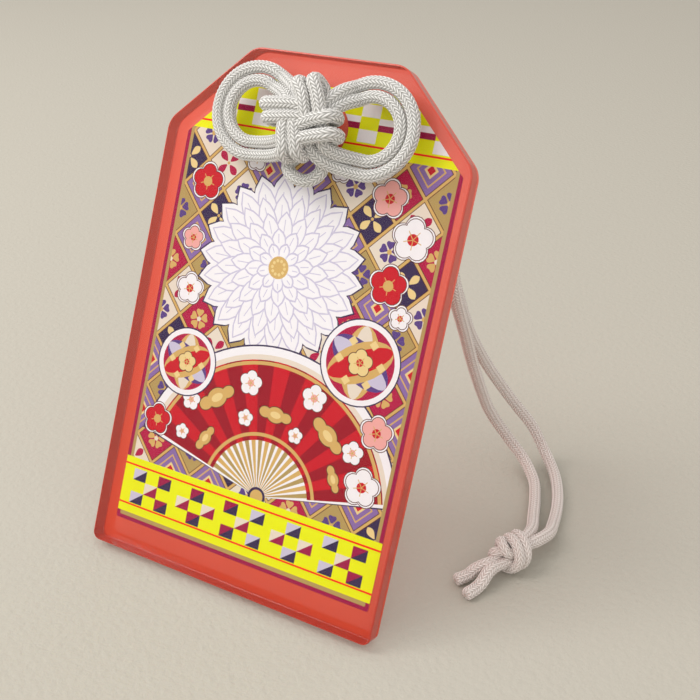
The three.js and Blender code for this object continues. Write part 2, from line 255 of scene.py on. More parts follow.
def braid_group() -> NodeTree:
    """The braid's stitches and filaments, from a map with u round the cord and v along it in mm.

    u times the columns gives the column and the place across it, f. The stitch's place along the cord
    is v / stitch, sheared by slant times (f - 1/2), one way in even columns and the other way in odd
    ones. The height is sin(pi f) to the column power times sin(pi s) to the stitch power, where s is
    the fraction of that place.
    """
    inputs = {"Map": ("Vector", None), "Columns": ("Float", float(CordWeave.columns)),
              "Stitch": ("Float", CordWeave.stitch), "Slant": ("Float", CordWeave.slant),
              "Filaments": ("Float", CordWeave.filaments)}
    sketch, source, result = new_group("braided yarn", inputs, ("Height", "Crevice"))
    calc, spot = sketch.math, sketch.split(source["Map"])
    around = calc("MULTIPLY", spot["X"], source["Columns"])
    across = calc("FRACT", around)
    way = calc("SUBTRACT", calc("MULTIPLY", calc("MODULO", calc("FLOOR", around), 2.0), 2.0), 1.0)
    shear = calc("MULTIPLY", calc("SUBTRACT", across, 0.5), source["Slant"])
    place = calc("MULTIPLY_ADD", shear, way, calc("DIVIDE", spot["Y"], source["Stitch"]))
    stitch = calc("SINE", calc("MULTIPLY", calc("FRACT", place), math.pi))
    column = calc("SINE", calc("MULTIPLY", across, math.pi))
    height = calc("MULTIPLY", calc("POWER", stitch, CordWeave.stitch_power),
                  calc("POWER", column, CordWeave.column_power))
    fibre = sketch.node("ShaderNodeCombineXYZ", {
        "X": calc("MULTIPLY", place, CordWeave.filaments_along),
        "Y": calc("MULTIPLY", around, CordWeave.filaments_across)})
    filaments = sketch.noise(fibre.outputs["Vector"], 1.0, 1.0)
    # Crevice runs from 0 on a stitch to 1 between stitches; the yarn uses it for painted shade.
    sketch.fill(result, {"Height": calc("MULTIPLY_ADD", filaments, source["Filaments"], height),
                         "Crevice": calc("SUBTRACT", 1.0, height)})
    return sketch.tree


def handling_group() -> NodeTree:
    """Hairline wear on polished sheet, in soft clouds, as a change of roughness."""
    inputs = {"Vector": ("Vector", None), "Roughness": ("Float", 0.05), "Wear": ("Float", 0.08)}
    sketch, source, result = new_group("handled surface", inputs, ("Roughness",))
    cloud = sketch.noise(source["Vector"], CLOUD_SCALE, 3.0)
    rough = sketch.math("MULTIPLY_ADD", cloud, source["Wear"], source["Roughness"])
    sketch.fill(result, {"Roughness": rough})
    return sketch.tree


# Finishes


@dataclass(frozen=True)
class Finish:
    """A material by name. Each kind of finish says what its shader's inputs take."""

    name: str

    def inputs(self, sketch: Sketch, group: NodeTree | None) -> Values:
        """The shader's inputs by name, drawn in the material's tree with this kind's node group."""
        raise NotImplementedError

    def build(self, group: NodeTree | None = None) -> Material:
        """Makes the material.

        Args:
            group: the node group of this kind of finish, if it has one.

        Returns:
            The material.
        """
        material = bpy.data.materials.new(self.name)
        material.use_nodes = True
        sketch = Sketch(material.node_tree)
        sketch.fill(material.node_tree.nodes["Principled BSDF"], self.inputs(sketch, group))
        return material


@dataclass(frozen=True)
class ClearAcrylic(Finish):
    """Polished clear sheet, drawn as the light it reflects over what lies behind it.

    Its alpha is the share of light that it reflects at each angle.
    """

    name: str = "clear_acrylic"
    index: float = 1.22
    grazing: float = 0.7
    roughness: float = 0.03
    wear: float = 0.03
    gleam: Colour = srgb(250, 252, 252)

    def inputs(self, sketch: Sketch, group: NodeTree | None) -> Values:
        """The clear sheet's inputs, with the group of handled surfaces."""
        marks = {"Vector": sketch.place(), "Roughness": self.roughness, "Wear": self.wear}
        edge_on = sketch.node("ShaderNodeFresnel", {"IOR": self.index}).outputs[0]
        return {"Base Color": self.gleam, "Metallic": 1.0,
                "Roughness": sketch.group(group, marks)["Roughness"],
                "Alpha": sketch.spread(edge_on, 0.0, self.grazing)}


@dataclass(frozen=True)
class RedSheet(Finish):
    """Translucent red acrylic, seen by the light that it scatters and a little of what is behind.

    It is painted darker towards its foot and paler towards its head, as painted shade and light, and its
    colour drifts a little towards a deeper one.
    """

    # foot is the colour at the bottom, in painted shade, and head the colour at the top, in painted
    # light.
    foot: Colour
    head: Colour
    alpha: float
    shadow_alpha: float = 0.09
    height: float = 0.075
    roughness: float = 0.13
    wear: float = 0.06
    drift: float = 0.35
    deepest: float = 0.86

    def inputs(self, sketch: Sketch, group: NodeTree | None) -> Values:
        """The red sheet's inputs, with the group of handled surfaces."""
        place = sketch.place()
        marks = {"Vector": place, "Roughness": self.roughness, "Wear": self.wear}
        drift = sketch.spread(sketch.noise(place, DRIFT_SCALE, 3.0), 0.0, self.drift)
        # Painted shade and light: darker at the foot, paler up to this height.
        upward = sketch.spread(sketch.math("DIVIDE", sketch.split(place)["Z"], self.height), 0.0, 1.0)
        deep = tuple(part * self.deepest for part in self.foot[:3]) + (1.0,)
        return {"Base Color": sketch.blend(drift, sketch.blend(upward, self.foot, self.head), deep),
                "Roughness": sketch.group(group, marks)["Roughness"],
                "Alpha": sketch.shadowed(self.alpha, self.shadow_alpha)}


@dataclass(frozen=True)
class PrintedInk(Finish):
    """Flat inks on film, each face in its own colour, with a fine unevenness."""

    name: str = "picture_ink"
    attribute: str = "ink"
    roughness: float = 0.42
    rougher: float = 0.1
    specular: float = 0.12
    shadow_alpha: float = 0.12
    mottle: float = 0.04
    grey: Colour = srgb(120, 110, 105)

    def inputs(self, sketch: Sketch, group: NodeTree | None) -> Values:
        """The print's inputs, from the mesh's colour attribute."""
        ink = sketch.node("ShaderNodeAttribute", attribute_name=self.attribute).outputs["Color"]
        place = sketch.place()
        mottle = sketch.spread(sketch.noise(place, GRAIN_SCALE), 0.0, self.mottle)
        patches = sketch.noise(place, PATCH_SCALE)
        return {"Base Color": sketch.blend(mottle, ink, self.grey),
                "Roughness": sketch.spread(patches, self.roughness, self.roughness + self.rougher),
                "Specular IOR Level": self.specular,
                "Alpha": sketch.shadowed(1.0, self.shadow_alpha)}


@dataclass(frozen=True)
class BraidedYarn(Finish):
    """Matte white braided cord, with painted shade down between its stitches."""

    light: Colour
    shade: Colour
    stitch: float
    relief: float = 0.00012
    crevice_shade: float = 0.95
    grime: float = 0.12
    roughness: float = 0.82
    sheen: float = 0.15

    def inputs(self, sketch: Sketch, group: NodeTree | None) -> Values:
        """The yarn's inputs, from the cord's own map and the group of braided yarn."""
        along = sketch.node("ShaderNodeUVMap", uv_map=CordWeave.map_name).outputs[0]
        stitches = sketch.group(group, {"Map": along, "Stitch": self.stitch})
        grime = sketch.spread(sketch.noise(sketch.place(), GRIME_SCALE), 0.0, self.grime)
        # Painted shade between stitches, with random grime added to it.
        depth = sketch.math("MULTIPLY_ADD", stitches["Crevice"], self.crevice_shade, grime)
        return {"Base Color": sketch.blend(depth, self.light, self.shade),
                "Roughness": self.roughness, "Sheen Weight": self.sheen,
                "Normal": sketch.bump(stitches["Height"], self.relief)}


@dataclass(frozen=True)
class PalePaper(Finish):
    """The plain pale floor, with a faint tooth."""

    name: str = "pale_floor"
    colour: Colour = srgb(186, 182, 171)
    roughness: float = 0.9
    specular: float = 0.2
    tooth: float = 0.0002

    def inputs(self, sketch: Sketch, group: NodeTree | None) -> Values:
        """The floor's inputs."""
        grain = sketch.noise(sketch.place(), GRAIN_SCALE, 4.0)
        return {"Base Color": self.colour, "Roughness": self.roughness,
                "Specular IOR Level": self.specular, "Normal": sketch.bump(grain, self.tooth)}


# The plate


@dataclass(frozen=True)
class CharmOutline:
    """The house-shaped outline with sloping shoulders, drawn in from every side by its margins.

    Where the shoulders have no margin of their own, theirs is the mean of the other two.
    """

    width: float = 50.0
    height: float = 80.0
    shoulder_across: float = 12.8
    shoulder_down: float = 12.4
    side_margin: float = 0.0
    end_margin: float = 0.0
    shoulder_margin: float | None = None
    foot_radius: float = 1.3
    shoulder_radius: float = 3.5

    def corners(self) -> Points:
        """The six corners, anticlockwise from the lower left, as rows of x, z and radius."""
        slope = math.atan2(self.shoulder_down, self.shoulder_across)
        mean = (self.side_margin + self.end_margin) / 2
        margin = mean if self.shoulder_margin is None else self.shoulder_margin
        along_top = margin / math.sin(slope) - self.end_margin / math.tan(slope)
        along_side = margin / math.cos(slope) - self.side_margin * math.tan(slope)
        x = self.width / 2 - self.side_margin
        top, foot = self.height - self.end_margin, self.end_margin
        top_x = self.width / 2 - self.shoulder_across - along_top
        shoulder = self.height - self.shoulder_down - along_side
        small, large = self.foot_radius, self.shoulder_radius
        return np.array([[-x, foot, small], [x, foot, small], [x, shoulder, large],
                         [top_x, top, large], [-top_x, top, large], [-x, shoulder, large]])

    def rounded(self, steps: int = 14) -> tuple[Points, Points]:
        """The outline's points and outward normals, with an arc at each corner.

        An arc's centre lies on the corner's bisector at radius / sin(half the corner's angle), and its
        normals turn evenly from one side's normal to the next side's.
        """
        corners = self.corners()
        spot, radius = corners[:, :2], corners[:, 2:]
        ahead = np.roll(spot, -1, axis=0) - spot
        ahead /= np.linalg.norm(ahead, axis=1, keepdims=True)
        back = -np.roll(ahead, 1, axis=0)
        middle = ahead + back
        middle /= np.linalg.norm(middle, axis=1, keepdims=True)
        half = np.arccos(np.clip((ahead * back).sum(1), -1, 1)) / 2
        centre = spot + middle * radius / np.sin(half)[:, None]
        start = np.arctan2(back[:, 0], -back[:, 1])
        swing = math.pi - 2 * half
        share = np.linspace(0.0, 1.0, steps)
        angle = start[:, None] + swing[:, None] * share[None, :]
        normal = np.stack([np.cos(angle), np.sin(angle)], axis=2).reshape(-1, 2)
        points = np.repeat(centre, steps, axis=0) + normal * np.repeat(radius, steps, axis=0)
        return points, normal


@dataclass
class ClearPlate:
    """The clear acrylic plate: polished faces, and rounded rims and walls painted with the red sheet seen
    through them, a painted reflection.
    """

    outline: CharmOutline = field(default_factory=CharmOutline)
    thickness: float = 2.5
    rim_radius: float = 0.22
    rim_steps: int = 4
    hole_radius: float = 2.3

    def profile(self) -> Points:
        """The rim's section: inset, depth, and the normal's outward and backward parts.

        From the front face round a quarter circle to the wall, down the wall and round to the back.
        """
        angle = np.linspace(0.0, math.pi / 2, self.rim_steps + 1)
        r = self.rim_radius
        front = np.stack([r - r * np.sin(angle), r - r * np.cos(angle),
                          np.sin(angle), -np.cos(angle)], axis=1)
        back = front[::-1] * [1, -1, 1, -1] + [0, self.thickness, 0, 0]
        return np.concatenate([front, back])

    def build(self, clear: Material, wall: Material) -> None:
        """Makes the plate as one closed grid.

        One way runs round the plate, and the other way follows the outer rim's section, the back face,
        the hole's section and the front face. The hole's points lie at the same angles, seen from its
        middle, as the outline's.
        """
        rim, rim_normal = self.outline.rounded()
        centre = np.array([0.0, HOLE_HEIGHT])
        ray = rim - centre
        hole_normal = -ray / np.linalg.norm(ray, axis=1, keepdims=True)
        hole = centre - hole_normal * self.hole_radius
        section = self.profile()
        rows, normals = [], []
        for base, outward, order in ((rim, rim_normal, section), (hole, hole_normal, section[::-1])):
            for inset, depth, out, back in order:
                flat = base - outward * inset
                rows.append(np.stack([flat[:, 0], np.full(len(flat), depth), flat[:, 1]], axis=1))
                normals.append(np.stack([outward[:, 0] * out, np.full(len(flat), back),
                                         outward[:, 1] * out], axis=1))
        faces = grid_quads(len(rows), len(rim), close_rows=True)[:, ::-1]
        mesh = mesh_from("acrylic_plate", LEAN.place(np.concatenate(rows)), faces, clear, wall)
        mesh.normals_split_custom_set_from_vertices(LEAN.turn(np.concatenate(normals)).tolist())
        ring = np.repeat(np.arange(len(rows)), len(rim))
        # The rims and walls take the second finish: the red sheet seen through them, as a painted
        # reflection.
        on_wall = ring % len(section) != len(section) - 1
        mesh.polygons.foreach_set("material_index", on_wall.astype(np.int32))
        plate = new_piece("acrylic_plate", mesh, "charm")
        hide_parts("clear_plate")


# The picture


class Ink(Enum):
    """The print's colours."""

    YELLOW = (241, 246, 9)
    VERMILION = (250, 30, 15)
    CRIMSON = (165, 25, 77)
    KHAKI = (185, 158, 98)
    NAVY = (60, 45, 85)
    CREAM = (236, 224, 208)
    PURPLE = (143, 112, 175)
    VIOLET = (96, 70, 140)
    ROSE = (185, 28, 75)
    RED = (208, 26, 42)
    DEEP_RED = (160, 18, 38)
    GOLD = (219, 180, 108)
    PALE_GOLD = (240, 214, 150)
    WHITE = (250, 248, 252)
    LILAC = (208, 202, 226)
    PINK = (244, 176, 170)
    BROWN = (96, 50, 42)


@dataclass
class Artwork:
    """Shapes in painter's order, each a closed outline of x and z with its ink.

    Each is cut to the mask in use, where there is one, whose outline is convex and runs anticlockwise.
    """

    shapes: list[tuple[Points, Ink]] = field(default_factory=list)
    mask: Points | None = None
    least_area: float = 0.002

    def lay(self, outline: Points, ink: Ink) -> None:
        """Lays a shape over the others.

        Its area is half the sum of x z' - x' z along its sides. A shape that runs clockwise is turned
        round, and one with next to no area is left out.
        """
        cut = outline if self.mask is None else clip(outline, self.mask)
        if len(cut) < 3:
            return
        x, z = cut.T
        area = (x * np.roll(z, -1) - np.roll(x, -1) * z).sum() / 2
        if abs(area) > self.least_area:
            self.shapes.append((cut if area > 0 else cut[::-1], ink))


def clip(outline: Points, window: Points) -> Points:
    """Cuts an outline to a convex window whose corners run anticlockwise.

    Against each side of the window in turn, the points on its left stay, and where the outline crosses
    the side, the crossing point is put in.
    """
    kept = np.asarray(outline, dtype=float)
    for start, end in zip(window, np.roll(window, -1, axis=0)):
        if len(kept) == 0:
            return kept
        side = end - start
        height = side[0] * (kept[:, 1] - start[1]) - side[1] * (kept[:, 0] - start[0])
        after, next_height = np.roll(kept, -1, axis=0), np.roll(height, -1)
        crosses = (height >= 0) != (next_height >= 0)
        share = np.where(crosses, height / np.where(crosses, height - next_height, 1.0), 0.0)
        both = np.stack([kept, kept + (after - kept) * share[:, None]], axis=1).reshape(-1, 2)
        use = np.stack([height >= 0, crosses], axis=1).ravel()
        kept = both[use]
    return kept


def turned(points: Points, degrees: float, centre: Spot) -> Points:
    """Turns points anticlockwise about the origin and moves them to a centre."""
    angle = math.radians(degrees)
    cos, sin = math.cos(angle), math.sin(angle)
    return points @ np.array([[cos, sin], [-sin, cos]]) + np.asarray(centre)


def box_shape(low_x: float, low_z: float, high_x: float, high_z: float) -> Points:
    """A rectangle, anticlockwise."""
    return np.array([[low_x, low_z], [high_x, low_z], [high_x, high_z], [low_x, high_z]])


def oval(centre: Spot, across: float, up: float, turn: float = 0.0, count: int = 22) -> Points:
    """An ellipse: x = across cos t and z = up sin t, turned and moved."""
    t = np.linspace(0, 2 * math.pi, count, endpoint=False)
    return turned(np.stack([across * np.cos(t), up * np.sin(t)], axis=1), turn, centre)


def disc(centre: Spot, radius: float, count: int = 22) -> Points:
    """A circle of this many points."""
    return oval(centre, radius, radius, count=count)


def polar(centre: Spot, radius: float, degrees: float) -> Points:
    """The point at this distance and angle from a centre."""
    return turned(np.array([[radius, 0.0]]), degrees, centre)[0]


def diamond(centre: Spot, width: float, height: float) -> Points:
    """A diamond with its corners at the ends of its width and height."""
    return np.array([[width / 2, 0], [0, height / 2], [-width / 2, 0], [0, -height / 2]]) + centre


def petal(centre: Spot, start: float, length: float, width: float, turn: float,
          notch: float = 0.0) -> Points:
    """A petal that points away from a centre.

    At share s of its length, its half width is width / 2 times sin(pi s^1.5) to the power 0.75, so it
    is widest past the middle. A notch draws its tip back.
    """
    s = np.linspace(0, 1, 9)
    half = width / 2 * np.sin(math.pi * s ** 1.5) ** 0.75
    x = start + length * (s - notch * np.maximum(0, s - 0.85) * 3)
    upper, lower = np.stack([x, half], axis=1), np.stack([x, -half], axis=1)[::-1]
    return turned(np.concatenate([lower, upper[1:-1]]), turn, centre)


def sector(centre: Spot, inner: float, outer: float, start: float, end: float) -> Points:
    """A piece of a ring between two radii and two angles in degrees."""
    count = max(3, int(abs(end - start) / 4))
    t = np.radians(np.linspace(start, end, count))
    ring = np.stack([np.cos(t), np.sin(t)], axis=1)
    return np.concatenate([ring * outer, ring[::-1] * inner]) + np.asarray(centre)


def stroke(points: Sequence[Spot], width: float) -> Points:
    """A line of some width through points: each is moved to both sides along the line's normal."""
    line = np.asarray(points, dtype=float)
    way = np.gradient(line, axis=0)
    way /= np.linalg.norm(way, axis=1, keepdims=True)
    side = np.stack([-way[:, 1], way[:, 0]], axis=1) * width / 2
    return np.concatenate([line - side, (line + side)[::-1]])


@dataclass
class Picture(Artwork):
    """The printed sheet: yellow check bands and a kimono pattern with a fan, flowers and thread balls."""

    outline: CharmOutline = field(default_factory=lambda: CharmOutline(
        side_margin=2.1, end_margin=3.9, shoulder_margin=2.2, foot_radius=0.3, shoulder_radius=0.3))
    front: float = 2.515
    back: float = 2.545
    window_radius: float = 4.3
    border_width: float = 0.6
    frame_width: float = 0.55
    line_width: float = 0.28
    lower_band: tuple[float, float] = (5.15, 14.2)
    upper_band: tuple[float, float] = (67.4, 76.1)
    lower_check: tuple[float, float] = (2.4, 1.9)
    upper_check: tuple[float, float] = (2.95, 1.8)
    cluster_pitch: float = 8.7
    tile: tuple[float, float] = (7.25, 8.1)
    flower_middle: tuple[float, float] = (-2.5, 49.0)
    flower_radius: float = 13.2
    fan_pivot: tuple[float, float] = (1.5, 14.6)
    fan_radius: float = 21.5
    fan_angles: tuple[float, float] = (14.0, 166.0)
    fan_pleats: int = 19
    covering_share: float = 0.86
    fan_side_slope: float = 0.3
    film: Colour = srgb(222, 214, 200)
    merge_within: float = 1e-5

    def draw(self) -> None:
        """Lays the whole picture, from the border inwards and from the ground up."""
        rim, _ = self.outline.rounded(8)
        self.lay(rim, Ink.CRIMSON)
        self.mask = rim
        side, end = self.outline.side_margin, self.outline.end_margin
        inner = CharmOutline(side_margin=side + self.border_width, end_margin=end + self.border_width,
                             shoulder_margin=1.9, foot_radius=0.2, shoulder_radius=0.2)
        self.lay(inner.rounded(6)[0], Ink.KHAKI)
        half = self.outline.width / 2 - side - self.border_width - self.frame_width
        self.mask = box_shape(-half, self.lower_band[1], half, self.upper_band[0])
        self.lay(self.mask, Ink.NAVY)
        self.kimono_pattern()
        self.chrysanthemum(self.flower_middle, self.flower_radius)
        self.folding_fan(self.fan_pivot, self.fan_radius)
        self.thread_ball((13.6, 38.4), 5.4)
        self.thread_ball((-15.2, 31.5), 4.4)
        self.blossom_fall()
        self.mask = rim
        self.check_bands()

    def kimono_pattern(self) -> None:
        """Diamonds in half-dropped rows, each outlined in gold, with a flower or a diamond in it."""
        width, height = self.tile
        inks = (Ink.CREAM, Ink.PURPLE, Ink.NAVY, Ink.ROSE, Ink.PURPLE, Ink.CREAM, Ink.KHAKI)
        for row in range(-1, 15):
            for column in range(-4, 5):
                spot = ((column + (row % 2) / 2) * width, self.lower_band[1] + row * height / 2)
                if self.is_covered(spot, height / 2):
                    continue
                kind = (column * 3 + row * 5) % len(inks)
                for thinner, lower, ink in ((0, 0, Ink.GOLD), (0.55, 0.62, Ink.BROWN),
                                            (0.85, 0.95, inks[kind])):
                    self.lay(diamond(spot, width - thinner, height - lower), ink)
                self.tile_motif(spot, kind, inks[kind])

    def is_covered(self, spot: Spot, reach: float) -> bool:
        """Whether a tile lies wholly under the large flower or the fan."""
        from_flower, from_fan = np.subtract(spot, self.flower_middle), np.subtract(spot, self.fan_pivot)
        under_flower = np.linalg.norm(from_flower) + reach < self.flower_radius * self.covering_share
        above_sides = from_fan[1] - reach > abs(from_fan[0]) * self.fan_side_slope
        under_fan = np.linalg.norm(from_fan) + reach < self.fan_radius and above_sides
        return bool(under_flower or under_fan)

    def tile_motif(self, centre: Spot, kind: int, ground: Ink) -> None:
        """One diamond's middle: a five-petal flower, nested diamonds or four leaves."""
        dark = ground in (Ink.NAVY, Ink.ROSE, Ink.PURPLE)
        if kind % 3 == 0:
            for k in range(5):
                leaf = petal(centre, 0.25, 1.55, 1.35, 90 + 72 * k, 0.5)
                self.lay(leaf, Ink.GOLD if dark else Ink.VIOLET)
            self.lay(disc(centre, 0.38, 10), Ink.CREAM if dark else Ink.GOLD)
        elif kind % 3 == 1:
            width, height = self.tile
            for share, ink in ((0.62, Ink.GOLD), (0.54, ground), (0.3, Ink.PALE_GOLD), (0.18, Ink.RED)):
                self.lay(diamond(centre, width * share, height * share), ink)
        else:
            for k in range(4):
                self.lay(petal(centre, 0.2, 2.1, 1.15, 45 + 90 * k), Ink.PALE_GOLD if dark else Ink.ROSE)
            self.lay(disc(centre, 0.42, 10), ground)
            self.lay(disc(centre, 0.25, 8), Ink.GOLD)

    def chrysanthemum(self, centre: Spot, radius: float) -> None:
        """A large white flower: five rounds of petals, each with a lilac edge, over a white outline."""
        for scale, ink in ((1.085, Ink.NAVY), (1.06, Ink.WHITE)):
            for k in range(22):
                self.lay(petal(centre, 2, radius * scale - 2, 4.2 * scale, k * 360 / 22), ink)
            self.lay(disc(centre, radius * 0.8, 40), ink)
        rounds = ((22, 1.0, 3.5, 0), (20, 0.83, 3.1, 9), (16, 0.64, 2.9, 3), (12, 0.45, 2.5, 12),
                  (9, 0.29, 1.9, 0))
        for count, share, width, phase in rounds:
            length = radius * share - 0.8
            for k in range(count):
                turn = phase + k * 360 / count
                self.lay(petal(centre, 0.8, length, width, turn), Ink.LILAC)
                self.lay(petal(centre, 0.8, length - 0.28, width - 0.42, turn), Ink.WHITE)
                vein = [polar(centre, radius * share * part, turn) for part in (0.62, 0.85)]
                self.lay(stroke(vein, 0.13), Ink.LILAC)
        self.lay(disc(centre, 1.7, 20), Ink.GOLD)
        for k in range(10):
            self.lay(disc(polar(centre, 1.05, 36 * k), 0.26, 8), Ink.PALE_GOLD)

    def folding_fan(self, pivot: Spot, radius: float) -> None:
        """A red fan with pleats, a white edge, gold clouds and small flowers, and gilt ribs below."""
        start, end = self.fan_angles
        for more, wider, ink in ((1.5, 2, Ink.NAVY), (1.25, 1.4, Ink.WHITE)):
            self.lay(sector(pivot, 0.5, radius + more, start - wider, end + wider), ink)
        step = (end - start) / self.fan_pleats
        for k in range(self.fan_pleats):
            low = start + step * k
            pleat, rib = (Ink.RED, Ink.GOLD) if k % 2 else (Ink.DEEP_RED, Ink.KHAKI)
            self.lay(sector(pivot, radius * 0.40, radius, low, low + step), pleat)
            self.lay(sector(pivot, 1.0, radius * 0.40, low + step * 0.2, low + step * 0.8), rib)
        for inner, outer in ((0.93, 0.955), (0.43, 0.455)):
            self.lay(sector(pivot, radius * inner, radius * outer, start, end), Ink.GOLD)
        self.lay(sector(pivot, radius * 0.965, radius + 0.05, start, end), Ink.CREAM)
        for angle, reach, size in ((52, 0.72, 3.4), (88, 0.60, 3.0), (128, 0.76, 3.6), (150, 0.58, 2.4),
                                   (28, 0.62, 2.2)):
            self.cloud(polar(pivot, radius * reach, angle), size, angle)
        for angle, reach, size in ((38, 0.82, 1.7), (70, 0.84, 2.0), (106, 0.80, 1.9), (142, 0.86, 1.6),
                                   (112, 0.56, 1.3), (68, 0.54, 1.2), (20, 0.84, 1.4), (158, 0.76, 1.2)):
            self.flower(polar(pivot, radius * reach, angle), size, Ink.WHITE, Ink.PINK)
        for size, ink in ((1.5, Ink.NAVY), (1.1, Ink.GOLD)):
            self.lay(disc(pivot, size), ink)

    def cloud(self, spot: Spot, size: float, angle: float) -> None:
        """A gold cloud of three lobes across the fan, with a dark edge."""
        for ink, grow in ((Ink.BROWN, 0.14), (Ink.GOLD, 0.0)):
            for shift, share in ((-0.75, 0.55), (0.0, 0.8), (0.75, 0.5)):
                lobe = turned(np.array([[0.0, -shift * size * 0.8]]), angle, spot)[0]
                width, height = size * share * 0.62 + grow, size * share * 0.5 + grow
                self.lay(oval(lobe, width, height, angle - 90), ink)
        self.lay(oval(spot, size * 0.3, size * 0.17, angle - 90), Ink.PALE_GOLD)

    def flower(self, centre: Spot, radius: float, ink: Ink, heart: Ink) -> None:
        """A five-petal plum flower with a dark edge, a heart and five stamens."""
        for grow, tint in ((0.12, Ink.BROWN), (0.0, ink)):
            for k in range(5):
                self.lay(disc(polar(centre, radius * 0.56, 90 + 72 * k), radius * 0.46 + grow, 16), tint)
        self.lay(disc(centre, radius * 0.3, 12), heart)
        for k in range(5):
            ends = [polar(centre, reach, 54 + 72 * k) for reach in (0, radius * 0.5)]
            self.lay(stroke(ends, 0.12), Ink.GOLD)

    def thread_ball(self, centre: Spot, radius: float) -> None:
        """A ball wound with coloured thread: crossing lens-shaped bands over a crimson ground."""
        for grow, ink in ((1.0, Ink.NAVY), (0.8, Ink.WHITE), (0.0, Ink.ROSE)):
            self.lay(disc(centre, radius + grow, 40), ink)
        edge = np.radians(np.linspace(-90, 90, 13))
        x = np.concatenate([np.cos(edge), -np.cos(edge)[::-1]]) * radius
        z = np.concatenate([np.sin(edge), np.sin(edge)[::-1]]) * radius
        for turn, inks in ((0, (Ink.GOLD, Ink.CREAM)), (60, (Ink.VIOLET, Ink.LILAC)),
                           (120, (Ink.GOLD, Ink.RED))):
            for bulge, ink in zip((0.52, 0.30), inks):
                self.lay(turned(np.stack([x * bulge, z], axis=1), turn, centre), ink)
        for k in range(6):
            spot = polar(centre, radius * 0.62, 60 * k)
            self.lay(diamond(spot, radius * 0.28, radius * 0.28), Ink.PALE_GOLD)
        self.flower(centre, radius * 0.36, Ink.PALE_GOLD, Ink.RED)

    def blossom_fall(self) -> None:
        """Small white and red flowers that fall beside the large one."""
        for x, z, size, ink in (
                (-17.6, 59.5, 2.6, Ink.RED), (-18.3, 50.6, 1.7, Ink.PINK), (12.9, 62.0, 2.5, Ink.PINK),
                (17.6, 57.0, 2.9, Ink.WHITE), (15.4, 50.0, 2.7, Ink.RED), (18.2, 45.9, 1.5, Ink.WHITE),
                (-17.2, 42.8, 2.2, Ink.WHITE), (18.4, 29.2, 2.3, Ink.PINK), (17.9, 21.0, 2.6, Ink.WHITE),
                (-18.6, 21.4, 2.3, Ink.RED), (-9.6, 64.2, 1.6, Ink.WHITE), (4.6, 64.6, 1.4, Ink.WHITE)):
            self.flower((x, z), size + 0.35, Ink.WHITE, Ink.WHITE)
            self.flower((x, z), size, ink, Ink.GOLD if ink is Ink.RED else Ink.RED)

    def check_bands(self) -> None:
        """The yellow bands at the foot and the head, each with its rows of small checks."""
        (low, high), (width, height) = self.lower_band, self.lower_check
        self.band(low, high, low + 1.4, high - 1.2)
        quincunx = ((-1, -1), (1, -1), (0, 0), (-1, 1), (1, 1))
        cross = ((0, -1), (-1, 0), (1, 0), (0, 1))
        for cluster in range(-2, 3):
            for column, row in cross if cluster % 2 else quincunx:
                spot = (cluster * self.cluster_pitch + column * width, (low + high) / 2 + row * height)
                self.check(spot, width, height, 8 + cluster + column + 2 * row)
        (low, high), (width, height) = self.upper_band, self.upper_check
        self.band(low, high, low + 1.3, high - 1.0)
        for row in range(3):
            for column in range(-4, 4):
                spot = ((column + (row % 2) / 2 + 0.25) * 2 * width, low + 2.6 + row * height)
                self.check(spot, width, height, row % 2 - 1)

    def band(self, low: float, high: float, *lines: float) -> None:
        """A yellow band between two heights, with red lines along it."""
        half, edge = self.outline.width / 2 - self.outline.side_margin, self.line_width / 2
        self.lay(box_shape(-half, low, half, high), Ink.YELLOW)
        for z in lines:
            self.lay(box_shape(-half, z - edge, half, z + edge), Ink.VERMILION)

    def check(self, spot: Spot, width: float, height: float, kind: int) -> None:
        """One small check: plain below kind 0, cut along its middle at 0, else on a diagonal."""
        low_x, high_x = spot[0] - width / 2, spot[0] + width / 2
        low_z, high_z = spot[1] - height / 2, spot[1] + height / 2
        ground = Ink.WHITE if kind < 2 else (Ink.CREAM, Ink.CRIMSON, Ink.CREAM, Ink.LILAC)[kind % 4]
        self.lay(box_shape(low_x, low_z, high_x, high_z), ground)
        if kind == 0:
            self.lay(box_shape(low_x, low_z, high_x, spot[1]), Ink.CRIMSON)
        elif kind > 0:
            half = np.array([[low_x, low_z], [high_x, low_z], [high_x, high_z]])
            self.lay(half, (Ink.CRIMSON, Ink.NAVY)[kind % 2])

